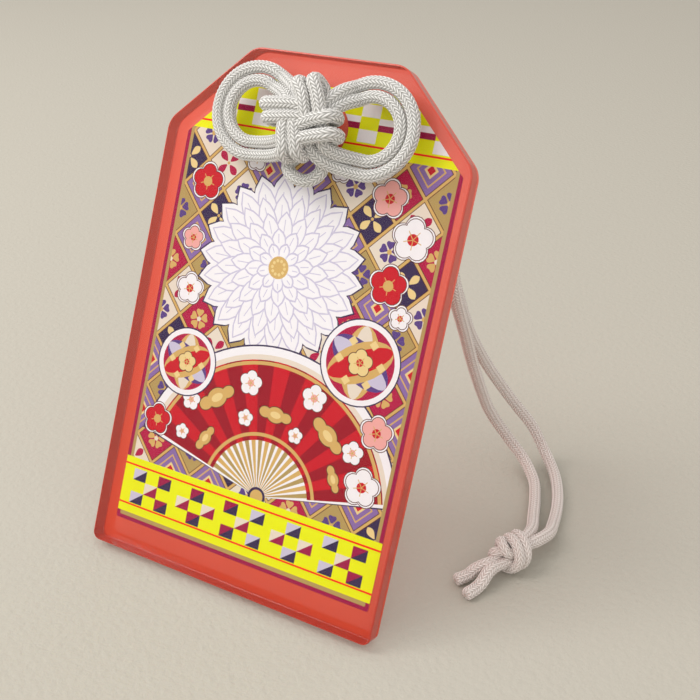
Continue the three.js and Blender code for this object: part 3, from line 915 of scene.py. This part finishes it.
    def build(self, finish: Material) -> None:
        """Makes the sheet: one thin closed solid whose front is divided along every shape's edge.

        All outlines go through one constrained triangulation. A triangle takes the ink of the topmost
        shape that holds it, and those in the round window at the hole are left out. The back is plain,
        and an edge with a triangle on one side only gets a wall.
        """
        self.draw()
        outlines = [outline for outline, _ in self.shapes]
        outlines.append(disc((0, HOLE_HEIGHT), self.window_radius, 64))
        starts = np.cumsum([0] + [len(outline) for outline in outlines])
        loops = [list(range(start, end)) for start, end in zip(starts, starts[1:])]
        corners = [Vector(point) for point in np.concatenate(outlines).tolist()]
        flat, _, triangles, _, _, holders = delaunay_2d_cdt(corners, [], loops, 1, self.merge_within)
        kept = [(tri, max(held)) for tri, held in zip(triangles, holders)
                if held and len(self.shapes) not in held]
        inks = [self.shapes[top][1] for _, top in kept]
        used, front = np.unique(np.array([tri for tri, _ in kept]), return_inverse=True)
        front = front.reshape(-1, 3)
        xz = np.array([tuple(point) for point in flat])[used]
        rim = self.rim_edges(front)
        ring = np.unique(rim)
        behind = np.zeros(len(xz), dtype=int)
        behind[ring] = len(xz) + np.arange(len(ring))
        walls = np.stack([rim[:, 1], rim[:, 0], behind[rim[:, 0]], behind[rim[:, 1]]], axis=1)
        back = self.back_faces(xz[ring]) + len(xz)
        faces = [*front.tolist(), *walls.tolist(), *back.tolist()]
        depth = np.concatenate([np.full(len(xz), self.front), np.full(len(ring), self.back)])
        flat = np.concatenate([xz, xz[ring]])
        vertices = np.stack([flat[:, 0], depth, flat[:, 1]], axis=1)
        mesh = mesh_from("printed_picture", LEAN.place(vertices), faces, finish)
        mesh.polygons.foreach_set("use_smooth", np.zeros(len(mesh.polygons), dtype=bool))
        self.colour(mesh, inks)
        sheet = new_piece("printed_picture", mesh, "charm")
        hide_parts("picture_sheet")

    @staticmethod
    def rim_edges(triangles: np.ndarray) -> np.ndarray:
        """The edges that have a triangle on one side only, in that triangle's order."""
        edges = np.concatenate([triangles[:, [0, 1]], triangles[:, [1, 2]], triangles[:, [2, 0]]])
        _, where, times = np.unique(np.sort(edges, axis=1), axis=0, return_index=True, return_counts=True)
        return edges[where[times == 1]]

    def back_faces(self, ring: Points) -> np.ndarray:
        """Triangles of the plain back, between the sheet's rim and the round window.

        The rim's points are put in order by their angle round the sheet's middle, and the window's by
        their angle round its own.
        """
        hub = np.array([0.0, HOLE_HEIGHT])
        round_window = np.linalg.norm(ring - hub, axis=1) < self.window_radius * 1.02
        loops = []
        for chosen, middle in ((~round_window, ring.mean(axis=0)), (round_window, hub)):
            numbers = np.flatnonzero(chosen)
            away = ring[numbers] - middle
            loops.append(numbers[np.argsort(np.arctan2(away[:, 1], away[:, 0]))].tolist())
        corners = [Vector(point) for point in ring.tolist()]
        _, _, triangles, origins, _, holders = delaunay_2d_cdt(
            corners, [], loops, 1, self.merge_within / 100)
        first = np.array([origin[0] for origin in origins])
        kept = [tri for tri, held in zip(triangles, holders) if 1 not in held]
        return first[np.array(kept)][:, ::-1]

    def colour(self, mesh: Mesh, inks: list[Ink]) -> None:
        """Writes each front face's ink to its corners, and pale film to the back and the walls."""
        table = {ink: srgb(*ink.value) for ink in Ink}
        faces = [table[ink] for ink in inks] + [self.film] * (len(mesh.polygons) - len(inks))
        totals = np.empty(len(mesh.polygons), dtype=np.int32)
        mesh.polygons.foreach_get("loop_total", totals)
        layer = mesh.color_attributes.new("ink", "FLOAT_COLOR", "CORNER")
        layer.data.foreach_set("color", np.repeat(faces, totals, axis=0).astype(np.float32).ravel())


# The cord


@dataclass(frozen=True)
class CordWeave:
    """The braided cord: its thickness, its stitches and how its ends draw in.

    The relief is the depth between stitches as a share of the radius, and the filaments' figures are
    their height and how often they come along a stitch and across a column.
    """

    map_name = "along_cord"
    diameter: float = 1.8
    columns: int = 10
    stitch: float = 0.5
    slant: float = 1.3
    column_power: float = 0.35
    stitch_power: float = 0.8
    filaments: float = 0.25
    filaments_along: float = 7.0
    filaments_across: float = 1.6
    relief: float = 0.15
    fullness: float = 1.04
    end_length: float = 0.5
    end_least: float = 0.05
    sides: int = 36
    ring_step: float = 0.12
    first_side: tuple[float, float, float] = (0.0, 1.0, 0.1)

    def height(self, around: Points, along: Points) -> Points:
        """How high the braid stands, from 0 between stitches to 1 on one, as braid_group says."""
        column = around * self.columns
        across = column % 1
        way = np.floor(column) % 2 * 2 - 1
        place = along / self.stitch + (across - 0.5) * self.slant * way
        return (np.sin(np.pi * across) ** self.column_power
                * np.sin(np.pi * (place % 1)) ** self.stitch_power)


def eased(distance: Points, start: float, length: float) -> Points:
    """Rises from 0 at the start to 1 a length further on, as 3 s^2 - 2 s^3."""
    share = np.clip((distance - start) / length, 0, 1)
    return share * share * (3 - 2 * share)


def smooth_route(points: Points, step: float, per_span: int = 24) -> Points:
    """A smooth line through points, sampled at even steps.

    It is a centripetal Catmull-Rom curve: between two points it is the cubic whose tangents come from
    the points on both sides, spaced by the square roots of their distances. Beyond each end, the point
    next to it is mirrored in it.

    Args:
        points: the points to pass through.
        step: the length between samples.
        per_span: how many places are worked out between two points, before the even ones.

    Returns:
        The samples, with both ends.
    """
    points = np.asarray(points, dtype=float)
    ends = np.stack([2 * points[0] - points[1], 2 * points[-1] - points[-2]])
    whole = np.concatenate([ends[:1], points, ends[1:]])
    gap = np.maximum(np.linalg.norm(np.diff(whole, axis=0), axis=1) ** 0.5, 1e-6)[:, None]
    p0, p1, p2, p3 = whole[:-3], whole[1:-2], whole[2:-1], whole[3:]
    d0, d1, d2 = gap[:-2], gap[1:-1], gap[2:]
    t1 = ((p1 - p0) / d0 - (p2 - p0) / (d0 + d1) + (p2 - p1) / d1) * d1
    t2 = ((p2 - p1) / d1 - (p3 - p1) / (d1 + d2) + (p3 - p2) / d2) * d1
    s = np.linspace(0, 1, per_span, endpoint=False)[None, :, None]
    a, b = p1[:, None], p2[:, None]
    t1, t2 = t1[:, None], t2[:, None]
    curve = (a * (2 * s**3 - 3 * s**2 + 1) + t1 * (s**3 - 2 * s**2 + s)
             + b * (3 * s**2 - 2 * s**3) + t2 * (s**3 - s**2))
    dense = np.concatenate([curve.reshape(-1, 3), points[-1:]])
    length = np.concatenate([[0], np.cumsum(np.linalg.norm(np.diff(dense, axis=0), axis=1))])
    count = max(4, int(round(length[-1] / step))) + 1
    even = np.linspace(0, length[-1], count)
    return np.stack([np.interp(even, length, dense[:, k]) for k in range(3)], axis=1)


def carried_frames(line: Points, first_side: Spot) -> tuple[Points, Points, Points]:
    """Frames that turn as little as they can along a line.

    Each tangent is the difference of its neighbours. The side vector is carried from one sample to the
    next by taking away its part along the new tangent.

    Returns:
        The tangents, the side vectors and their cross products.
    """
    tangent = np.gradient(line, axis=0)
    tangent /= np.linalg.norm(tangent, axis=1, keepdims=True)
    side = np.empty_like(line)
    carried = np.asarray(first_side, dtype=float)
    for i, way in enumerate(tangent):
        carried = carried - way * (carried @ way)
        carried = carried / math.sqrt(carried @ carried)
        side[i] = carried
    return tangent, side, np.cross(tangent, side)


def braided_cord(name: str, line: Points, weave: CordWeave, girth: Points,
                 finish: Material) -> Mesh:
    """A closed braided tube along a line in millimetres.

    At angle t round the ring and length v along the cord, the surface lies at the line plus
    r (side cos t + other sin t), where r is the radius times the girth there, less the relief between
    stitches. The last few rings at each end draw in along a quarter circle, and a point closes each.

    Args:
        name: the mesh's name.
        line: evenly spaced samples of the middle line, in the row frame.
        weave: the cord's sizes.
        girth: the cord's thickness at each sample, as a share of its full one.
        finish: its material.

    Returns:
        The mesh, in metres, with its map.
    """
    _, side, other = carried_frames(line, weave.first_side)
    count, sides = len(line), weave.sides
    step = np.linalg.norm(line[1] - line[0])
    along = np.arange(count) * step
    turn = np.arange(sides) / sides
    radius = weave.diameter / 2
    edge = np.minimum(np.arange(count), np.arange(count)[::-1]) * step / (radius * weave.end_length)
    round_end = np.sqrt(1 - (1 - np.clip(edge, weave.end_least, 1)) ** 2)
    height = weave.height(turn[None, :], along[:, None])
    reach = radius * weave.fullness * (girth * round_end)[:, None] * (1 - weave.relief * (1 - height))
    angle = 2 * np.pi * turn[None, :, None]
    ring = side[:, None] * np.cos(angle) + other[:, None] * np.sin(angle)
    body = line[:, None] + ring * reach[..., None]
    vertices = np.concatenate([body.reshape(-1, 3), line[:1], line[-1:]])
    quads = grid_quads(count, sides)
    first, after = np.arange(sides), (np.arange(sides) + 1) % sides
    tip, top = np.full(sides, count * sides), (count - 1) * sides
    caps = np.concatenate([np.stack([first, tip, after], axis=1),
                           np.stack([top + first, top + after, tip + 1], axis=1)])
    mesh = mesh_from(name, vertices * MM, [*quads.tolist(), *caps.tolist()], finish)
    row, column = np.divmod(quads, sides)
    wrapped = np.where((column == 0) & (quads[:, :1] % sides == sides - 1), sides, column)
    quad_map = np.stack([wrapped / sides, along[row]], axis=2).reshape(-1, 2)
    layer = mesh.uv_layers.new(name=weave.map_name)
    whole_map = np.concatenate([quad_map, np.zeros((caps.size, 2))])
    layer.uv.foreach_set("vector", whole_map.astype(np.float32).ravel())
    return mesh


@dataclass
class FrontKnot:
    """The doubled ornamental knot on the plate's face, tied in one cord.

    Its middle is a crown of four doubled fingers, laid like the flaps of a closed box. Places in it are
    across and up from the hole's middle in millimetres, with the layer off the plate. Each strand of a
    finger runs from its tip down its front, under its neighbour and out to the root of an ear. Before
    that it turns over the tip: turn_shares says how far in from the tip towards the strand's third
    point, and in which layer. out_of_hole has places across, in thicknesses of the cord, and layers.
    """

    weave: CordWeave = field(default_factory=CordWeave)
    strand_pitch_in_hole: float = 2.1
    end_depth: float = 0.5
    first_layer: float = 0.95
    layer_pitch: float = 1.6
    ear_across: float = 9.4
    ear_up: float = 0.65
    outer_ear: float = 6.4
    ear_pitch: float = 1.95
    ear_angles: tuple[float, float] = (-32.0, 190.0)
    behind: tuple = ((-0.9, 0.0, 1.1), (1.3, 0.0, 1.1))
    turn_shares: tuple = ((0.38, 1.0), (0.12, 1.25), (0.0, 2.0), (0.12, 2.8))
    out_of_hole: tuple = ((-0.12, -0.34), (-1.0, 0.0), (-2.0, 0.3))
    lane_step: float = 0.12
    girth_in_hole: float = 1.15
    crown_girth: float = 1.1
    ear_girth: float = 1.02
    crown_half: float = 6.2
    ease_length: float = 3.0
    strands: dict = field(default_factory=lambda: {
        "up_left": (
            (-1.01, 5.06, 2.0), (0.46, 3.35, 3.05), (1.09, 1.77, 3.05), (1.46, 0.41, 2.9),
            (1.7, -0.9, 2.2), (1.75, -2.2, 1.9), (2.05, -3.5, 1.6), (3.4, -4.65, 1.1),
            (5.15, -5.25, 0.4)),
        "up_right": (
            (1.27, 5.73, 2.0), (2.59, 3.81, 3.05), (3.29, 2.25, 3.05), (3.7, 0.91, 2.9),
            (3.8, -0.5, 2.2), (3.75, -1.75, 1.9), (4.15, -2.85, 1.6), (5.4, -3.5, 0.8)),
        "right_upper": (
            (5.37, 1.13, 2.0), (4.63, 0.79, 3.05), (2.77, 0.15, 3.05), (1.13, -0.62, 2.9),
            (-0.1, -1.25, 2.2), (-1.4, -2.05, 1.9), (-2.8, -2.9, 1.5), (-4.8, -3.4, 0.8)),
        "right_lower": (
            (6.04, -1.27, 2.0), (5.18, -1.59, 3.05), (3.39, -2.04, 3.05), (1.69, -2.56, 2.9),
            (0.4, -3.15, 2.2), (-0.95, -3.95, 1.9), (-2.4, -4.75, 1.4), (-4.4, -5.25, 0.7)),
        "down_left": (
            (-1.0, -5.29, 2.0), (-0.9, -4.01, 3.05), (-1.35, -2.49, 3.05), (-1.55, -0.89, 2.9),
            (-1.75, 0.4, 2.2), (-2.05, 1.55, 1.9), (-3.0, 2.65, 1.5), (-4.6, 3.55, 0.8)),
        "down_right": (
            (1.21, -4.83, 2.0), (0.96, -3.54, 3.05), (0.45, -2.04, 3.05), (-0.06, -0.39, 2.9),
            (-0.2, 0.9, 2.2), (-0.55, 2.2, 1.9), (-1.5, 3.45, 1.5), (-2.9, 4.5, 1.1),
            (-4.5, 5.35, 0.5)),
        "left_upper": (
            (-5.65, 1.4, 2.0), (-2.93, 1.64, 3.05), (-0.78, 1.82, 3.05), (0.69, 1.77, 2.9),
            (1.95, 1.85, 2.25), (3.05, 2.6, 1.9), (3.9, 3.85, 1.5), (4.85, 5.1, 0.8)),
        "left_lower": (
            (-4.94, -0.44, 2.0), (-2.18, -0.1, 3.05), (-0.18, 0.19, 3.05), (1.26, 0.28, 2.9),
            (2.45, 0.4, 2.25), (3.45, 1.05, 1.9), (4.3, 2.2, 1.5), (5.45, 3.45, 0.8))})
    lower_loop: tuple = (
        (2.6, -0.5, 0.3), (2.1, -1.8, 0.0), (0.8, -3.4, 0.0), (-1.2, -4.8, 0.0),
        (-2.3, -6.05, 0.0), (-1.8, -7.1, 0.0), (-0.55, -7.75, 0.0), (0.9, -7.9, 0.0),
        (2.2, -7.35, 0.0), (3.05, -6.4, 0.0), (3.25, -5.3, 0.0), (2.95, -4.1, 0.0),
        (3.2, -3.0, 0.1), (3.9, -2.2, 0.4))

    def place(self, x: Points, up: Points, layer: Points) -> Points:
        """Points across and up from the hole's middle, in a layer off the plate."""
        x, up, layer = np.broadcast_arrays(x, up, layer)
        return np.stack([x, -self.first_layer - layer * self.layer_pitch, HOLE_HEIGHT + up], axis=-1)

    def strand(self, name: str) -> Points:
        """From the back of the crown over one finger's tip, down its front and out to an ear's root."""
        line = np.array(self.strands[name])
        tip, inwards = line[0, :2], line[2, :2] - line[0, :2]
        turn = [[*(tip + share * inwards), layer] for share, layer in self.turn_shares]
        return self.place(*np.concatenate([turn, line[1:]]).T)

    def ear(self, side: int, radius: float) -> Points:
        """An ear's arc beside the crown, from its upper root round the outside to its lower root."""
        angle = np.radians(np.linspace(*self.ear_angles, 13))
        return self.place(side * (self.ear_across + radius * np.sin(angle)),
                          self.ear_up + radius * np.cos(angle), 0.0)

    def round(self, side: int, upper: str, lower: str, radius: float) -> Points:
        """Down one finger, round an ear and up the finger at its lower root."""
        return np.concatenate([self.strand(upper), self.ear(side, radius), self.strand(lower)[::-1]])

    def from_hole(self, lane: int) -> Points:
        """Out of the hole and along the plate to the left finger's back."""
        up, girth = lane * self.strand_pitch_in_hole / 2, self.girth_in_hole
        height = HOLE_HEIGHT + up
        inside = np.array([[0, self.end_depth, height], [0, self.end_depth - girth / 2, height]])
        across, layer = np.array(self.out_of_hole).T
        outside = self.place(across * girth, np.array([0, 0, lane * self.lane_step * girth]) + up, layer)
        return np.concatenate([inside, outside])

    def route(self) -> Points:
        """The whole cord from the hole through every finger and ear and back to the hole."""
        inner = self.outer_ear - self.ear_pitch
        first_behind, second_behind = self.place(*np.array(self.behind).T)[:, None]
        return np.concatenate([
            self.from_hole(1),
            self.round(1, "left_upper", "up_left", self.outer_ear),
            first_behind,
            self.round(-1, "down_left", "right_upper", inner),
            self.place(*np.array(self.lower_loop).T),
            self.round(-1, "down_right", "right_lower", self.outer_ear)[::-1],
            second_behind,
            self.round(1, "left_lower", "up_right", inner)[::-1],
            self.from_hole(-1)[::-1]])

    def girth(self, line: Points) -> Points:
        """The cord looks thicker in the crown, where its strands are pressed, than in the ears."""
        distance = np.linalg.norm(line[:, [0, 2]] - [0, HOLE_HEIGHT], axis=1)
        ease = eased(distance, self.crown_half, self.ease_length)
        return self.crown_girth + (self.ear_girth - self.crown_girth) * ease

    def build(self, finish: Material) -> None:
        """Makes the knot as one braided tube."""
        line = smooth_route(self.route(), self.weave.ring_step)
        girth = self.girth(line)
        mesh = braided_cord("ornamental_knot", LEAN.place(line) / MM, self.weave, girth, finish)
        knot = new_piece("ornamental_knot", mesh, "knot")
        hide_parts("front_knot")


@dataclass
class TailCords:
    """The cord's two ends behind the plate, from the hole down to the table and into one knot.

    Behind the plate the points are measured from the hole's middle on the plate's back face. Further
    down they are in millimetres in the row frame, on the photo's sight lines. In the end knot, turn_back
    has the steps along it, round it in degrees and outwards, by which a core strand becomes a wrap.
    """

    weave: CordWeave = field(default_factory=CordWeave)
    behind: tuple = (
        ((0, -2.2, 1.05), (0, 0, 1.05), (0.5, 2.2, 1.05), (2.6, 3.5, 1), (7, 3.6, 0.3),
         (12.5, 3.6, -1.2), (17, 3.6, -4), (20, 3.7, -8.5), (21.6, 4.4, -14)),
        ((0, -2.2, -1.05), (0, -0.6, -1.05), (0.5, 0.9, -1.05), (2.2, 1.5, -1), (7, 1.5, -1.4),
         (12.5, 1.5, -2.7), (17.3, 1.5, -5.4), (20.8, 1.5, -9.6), (22.6, 1.9, -14.4)))
    down: tuple = (
        ((22.0, 13.8, 43.6), (21.9, 16.5, 39.5), (21.7, 19.4, 35.5), (21.9, 22.0, 31.3),
         (22.6, 24.6, 27.1), (23.5, 27.2, 23.0), (24.5, 29.9, 19.0), (25.7, 32.6, 15.0),
         (27.3, 35.0, 11.0), (29.7, 36.6, 7.0), (32.5, 36.0, 3.1), (35.5, 32.9, 1.2),
         (37.6, 28.4, 1.11), (39.0, 23.7, 1.11), (39.8, 18.8, 1.35), (40.2, 14.4, 2.9)),
        ((23.2, 10.7, 44.1), (23.2, 13.1, 39.7), (23.1, 15.8, 35.6), (23.0, 18.4, 31.4),
         (23.1, 20.7, 27.1), (23.4, 23.0, 22.7), (23.6, 25.5, 18.5), (23.9, 28.1, 14.3),
         (24.7, 30.7, 10.2), (26.7, 32.4, 6.1), (30.0, 32.2, 2.7), (33.1, 29.0, 1.2),
         (34.9, 24.4, 1.12), (36.2, 19.7, 1.4), (37.6, 13.6, 3.0)))
    knot_x: float = 36.6
    knot_y: float = 7.2
    knot_turn_deg: float = 241.0
    wrap_pitch: float = 2.9
    core_pitch: float = 1.3
    wrap_turns: float = 1.5
    turn_back: tuple = ((-0.70, 0.0, 0.0), (-0.08, 26.8, 0.24), (-0.01, 57.6, 0.79))
    knot_height: float = 3.18
    cut_end: float = 4.6
    cut_spread: float = 0.3
    squeezed: float = 0.9
    full: float = 1.08
    wrap_parts: int = 18
    wrap_used: tuple[int, int] = (3, 16)
    ease_start: float = 0.7
    ease_length: float = 2.0
    end_clear: float = 0.8
    rest_clear: float = 0.15

    @property
    def core_radius(self) -> float:
        """The distance of each core strand from the end knot's middle line."""
        return self.core_pitch / math.sqrt(2)

    @property
    def knot_half(self) -> float:
        """Half the end knot's length."""
        return self.wrap_pitch * (self.wrap_turns + 0.5) / 2 + self.core_pitch

    def in_knot(self, along: Points, angle_deg: Points, radius: Points) -> Points:
        """Points along the end knot and round it: across = r cos a, and up = r sin a."""
        turn, angle = math.radians(self.knot_turn_deg), np.radians(angle_deg)
        across, up = radius * np.cos(angle), radius * np.sin(angle)
        along, across, up = np.broadcast_arrays(along, across, up)
        return np.stack([self.knot_x + along * math.cos(turn) - across * math.sin(turn),
                         self.knot_y + along * math.sin(turn) + across * math.cos(turn),
                         self.knot_height + up], axis=-1)

    def knot_route(self, number: int) -> Points:
        """One strand through the core, one and a half turns back round it, and through it again."""
        core, half = self.core_radius, self.knot_half
        start, whole = 45.0 + 90.0 * number, self.wrap_turns * 360
        length, lead = self.wrap_pitch * self.wrap_turns, self.wrap_pitch / 4 * number
        first = length / 2 - self.wrap_pitch / 4 + lead
        along, degrees, outwards = np.array(self.turn_back).T
        way_in = self.in_knot(np.concatenate([[-half / 2, 0], first + along]),
                              start + np.concatenate([[0, 0], degrees]),
                              core + np.concatenate([[0, 0], outwards]))
        share = np.arange(*self.wrap_used) / self.wrap_parts
        wraps = self.in_knot(first - share * length, start + share * whole, core + self.core_pitch)
        last = first - length
        way_out = self.in_knot(np.concatenate([(last - along)[::-1], [0, half / 2, half + lead / 2]]),
                               start + whole - np.concatenate([degrees[::-1], [0, 0, 0]]),
                               core + np.concatenate([outwards[::-1], [0, 0, 0]]))
        return np.concatenate([way_in, wraps, way_out])

    def cut_end_route(self, number: int) -> Points:
        """The short end beyond the knot, which drops to the table and turns a little outwards."""
        spread = self.core_radius + self.weave.diameter / 4
        start = self.knot_half + self.wrap_pitch / 4 * number + self.end_clear
        base = self.in_knot(start, 225.0 + 90.0 * number, spread)
        along = self.cut_end * np.array([0.25, 0.5, 1.0])
        across = (2 * number - 1) * (spread + self.cut_spread * np.array([0, 0.25, 1.0]))
        flat = self.in_knot(start + along, 0.0, across)
        rest = self.weave.diameter * self.full / 2 + self.rest_clear
        flat[:, 2] = np.maximum(rest, base[2] + (rest - base[2]) * along / self.cut_end * 2)
        return np.concatenate([base[None], flat])

    def route(self, number: int) -> Points:
        """One strand from the hole to its cut end, in millimetres in the row frame."""
        shifted = np.array(self.behind[number], dtype=float) + [0, LEAN.plate_depth, HOLE_HEIGHT]
        return np.concatenate([LEAN.place(shifted) / MM, np.array(self.down[number]),
                               self.knot_route(number), self.cut_end_route(number)])

    def girth(self, line: Points) -> Points:
        """The cord is squeezed inside the end knot and full outside it, easing in and out."""
        distance = np.linalg.norm(line - [self.knot_x, self.knot_y, self.knot_height], axis=1)
        ease = eased(distance, self.knot_half * self.ease_start, self.ease_length)
        return self.squeezed + (self.full - self.squeezed) * ease

    def build(self, finish: Material) -> None:
        """Makes both strands, each one braided tube from the hole to its cut end."""
        for number, (name, place) in enumerate((("outer", "first"), ("inner", "second"))):
            line = smooth_route(self.route(number), self.weave.ring_step)
            mesh = braided_cord(f"tail_cord_{name}", line, self.weave, self.girth(line), finish)
            strand = new_piece(f"tail_cord_{name}", mesh, "charm")
            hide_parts(f"tail_strand_{name}", f"end_knot_{place}", f"cut_end_{place}")


# The studio


@dataclass(frozen=True)
class Lamp:
    """A square area lamp that faces the charm."""

    name: str
    place: tuple[float, float, float]
    size: float
    watts: float
    colour: tuple[float, float, float]
    target: tuple[float, float, float] = (0.0, 0.0, 0.03)

    def build(self) -> None:
        """Hangs the lamp at its place."""
        data = bpy.data.lights.new(self.name, "AREA")
        data.size, data.energy, data.color = self.size, self.watts, self.colour
        turn = (Vector(self.target) - Vector(self.place)).to_track_quat("-Z", "Y").to_matrix().to_4x4()
        add_object(self.name, data).matrix_world = Matrix.Translation(self.place) @ turn


@dataclass(frozen=True)
class Studio:
    """The plain floor, the soft lamps and the camera."""

    eye: tuple[float, float, float] = (0.06804, -0.10540, 0.10539)
    forward: tuple[float, float, float] = (-0.4060, 0.7653, -0.4996)
    upward: tuple[float, float, float] = (-0.2343, 0.4414, 0.8662)
    focal_px: float = 966.0
    picture_px: float = 700.0
    sensor_mm: float = 36.0
    clip_range: tuple[float, float] = (0.005, 20.0)
    floor_half: float = 2.5
    lamps: tuple[Lamp, ...] = (Lamp("key", (-0.42, -0.22, 0.62), 0.42, 3.8, (1.0, 0.985, 0.96)),
                               Lamp("fill", (0.45, -0.65, 0.35), 0.6, 0.85, (1.0, 0.98, 0.96)))
    world_colour: Colour = srgb(241, 237, 233)
    world_strength: float = 0.89

    def camera(self) -> None:
        """Sets the camera at the photo's view, by its place, its two directions and its focal length."""
        data = bpy.data.cameras.new("camera")
        data.sensor_width = self.sensor_mm
        data.lens = self.focal_px / self.picture_px * self.sensor_mm
        data.clip_start, data.clip_end = self.clip_range
        forward = Vector(self.forward).normalized()
        right = forward.cross(Vector(self.upward)).normalized()
        axes = Matrix((right, right.cross(forward), -forward)).transposed()
        eye = add_object("camera", data)
        eye.matrix_world = Matrix.Translation(self.eye) @ axes.to_4x4()
        bpy.context.scene.camera = eye

    def floor(self, finish: Material) -> None:
        """Lays the floor: a wide square at the table's height."""
        corners = np.array([[-1, -1, 0], [1, -1, 0], [1, 1, 0], [-1, 1, 0]]) * self.floor_half
        floor = add_object("floor", mesh_from("floor", corners, [[0, 1, 2, 3]], finish))

    def build(self, floor_finish: Material) -> None:
        """Sets the lamps, the world and the floor."""
        self.floor(floor_finish)
        for lamp in self.lamps:
            lamp.build()
        world = bpy.data.worlds.new("studio")
        world.use_nodes = True
        Sketch(world.node_tree).fill(world.node_tree.nodes["Background"], {
            "Color": self.world_colour, "Strength": self.world_strength})
        bpy.context.scene.world = world
        bpy.context.scene.view_settings.view_transform = "Standard"


def dress_red_sheet(finish: Material) -> None:
    """Gives the CAD's red sheet, whose shape is kept, its finish."""
    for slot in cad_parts["red_sheet"].material_slots:
        slot.material = finish
    log.info("red_sheet: CAD shape kept")


def main() -> None:
    """Builds the camera and the cords, then the plate and its picture, and last the studio."""
    studio = Studio()
    studio.camera()
    braid, handling = braid_group(), handling_group()
    knot_weave, tail_weave = CordWeave(stitch=0.58), CordWeave(stitch=0.6)
    # Each yarn's second colour is its painted shade between stitches. The tails' yarn is a paler, warmer
    # copy of the knot's: painted light on the same cord.
    knot_yarn = BraidedYarn("knot_yarn", srgb(255, 254, 252), srgb(154, 153, 148), knot_weave.stitch)
    tail_yarn = BraidedYarn("tail_yarn", srgb(255, 248, 244), srgb(194, 178, 169), tail_weave.stitch)
    TailCords(tail_weave).build(tail_yarn.build(braid))
    FrontKnot(knot_weave).build(knot_yarn.build(braid))
    # The plate's rims and walls show the red sheet through them: a painted reflection, darker at the foot
    # as painted shade.
    red_sheet_seen_in_walls = RedSheet("red_sheet_seen_in_walls", srgb(190, 55, 37), srgb(216, 84, 67), 0.94)
    ClearPlate().build(ClearAcrylic().build(handling), red_sheet_seen_in_walls.build(handling))
    Picture().build(PrintedInk().build())
    # The red sheet's foot colour is in painted shade and its head colour in painted light.
    red_acrylic = RedSheet("red_acrylic", srgb(222, 79, 50), srgb(249, 126, 109), 0.88)
    dress_red_sheet(red_acrylic.build(handling))
    studio.build(PalePaper().build())
    bpy.context.view_layer.update()


if __name__ == "__main__":
    main()
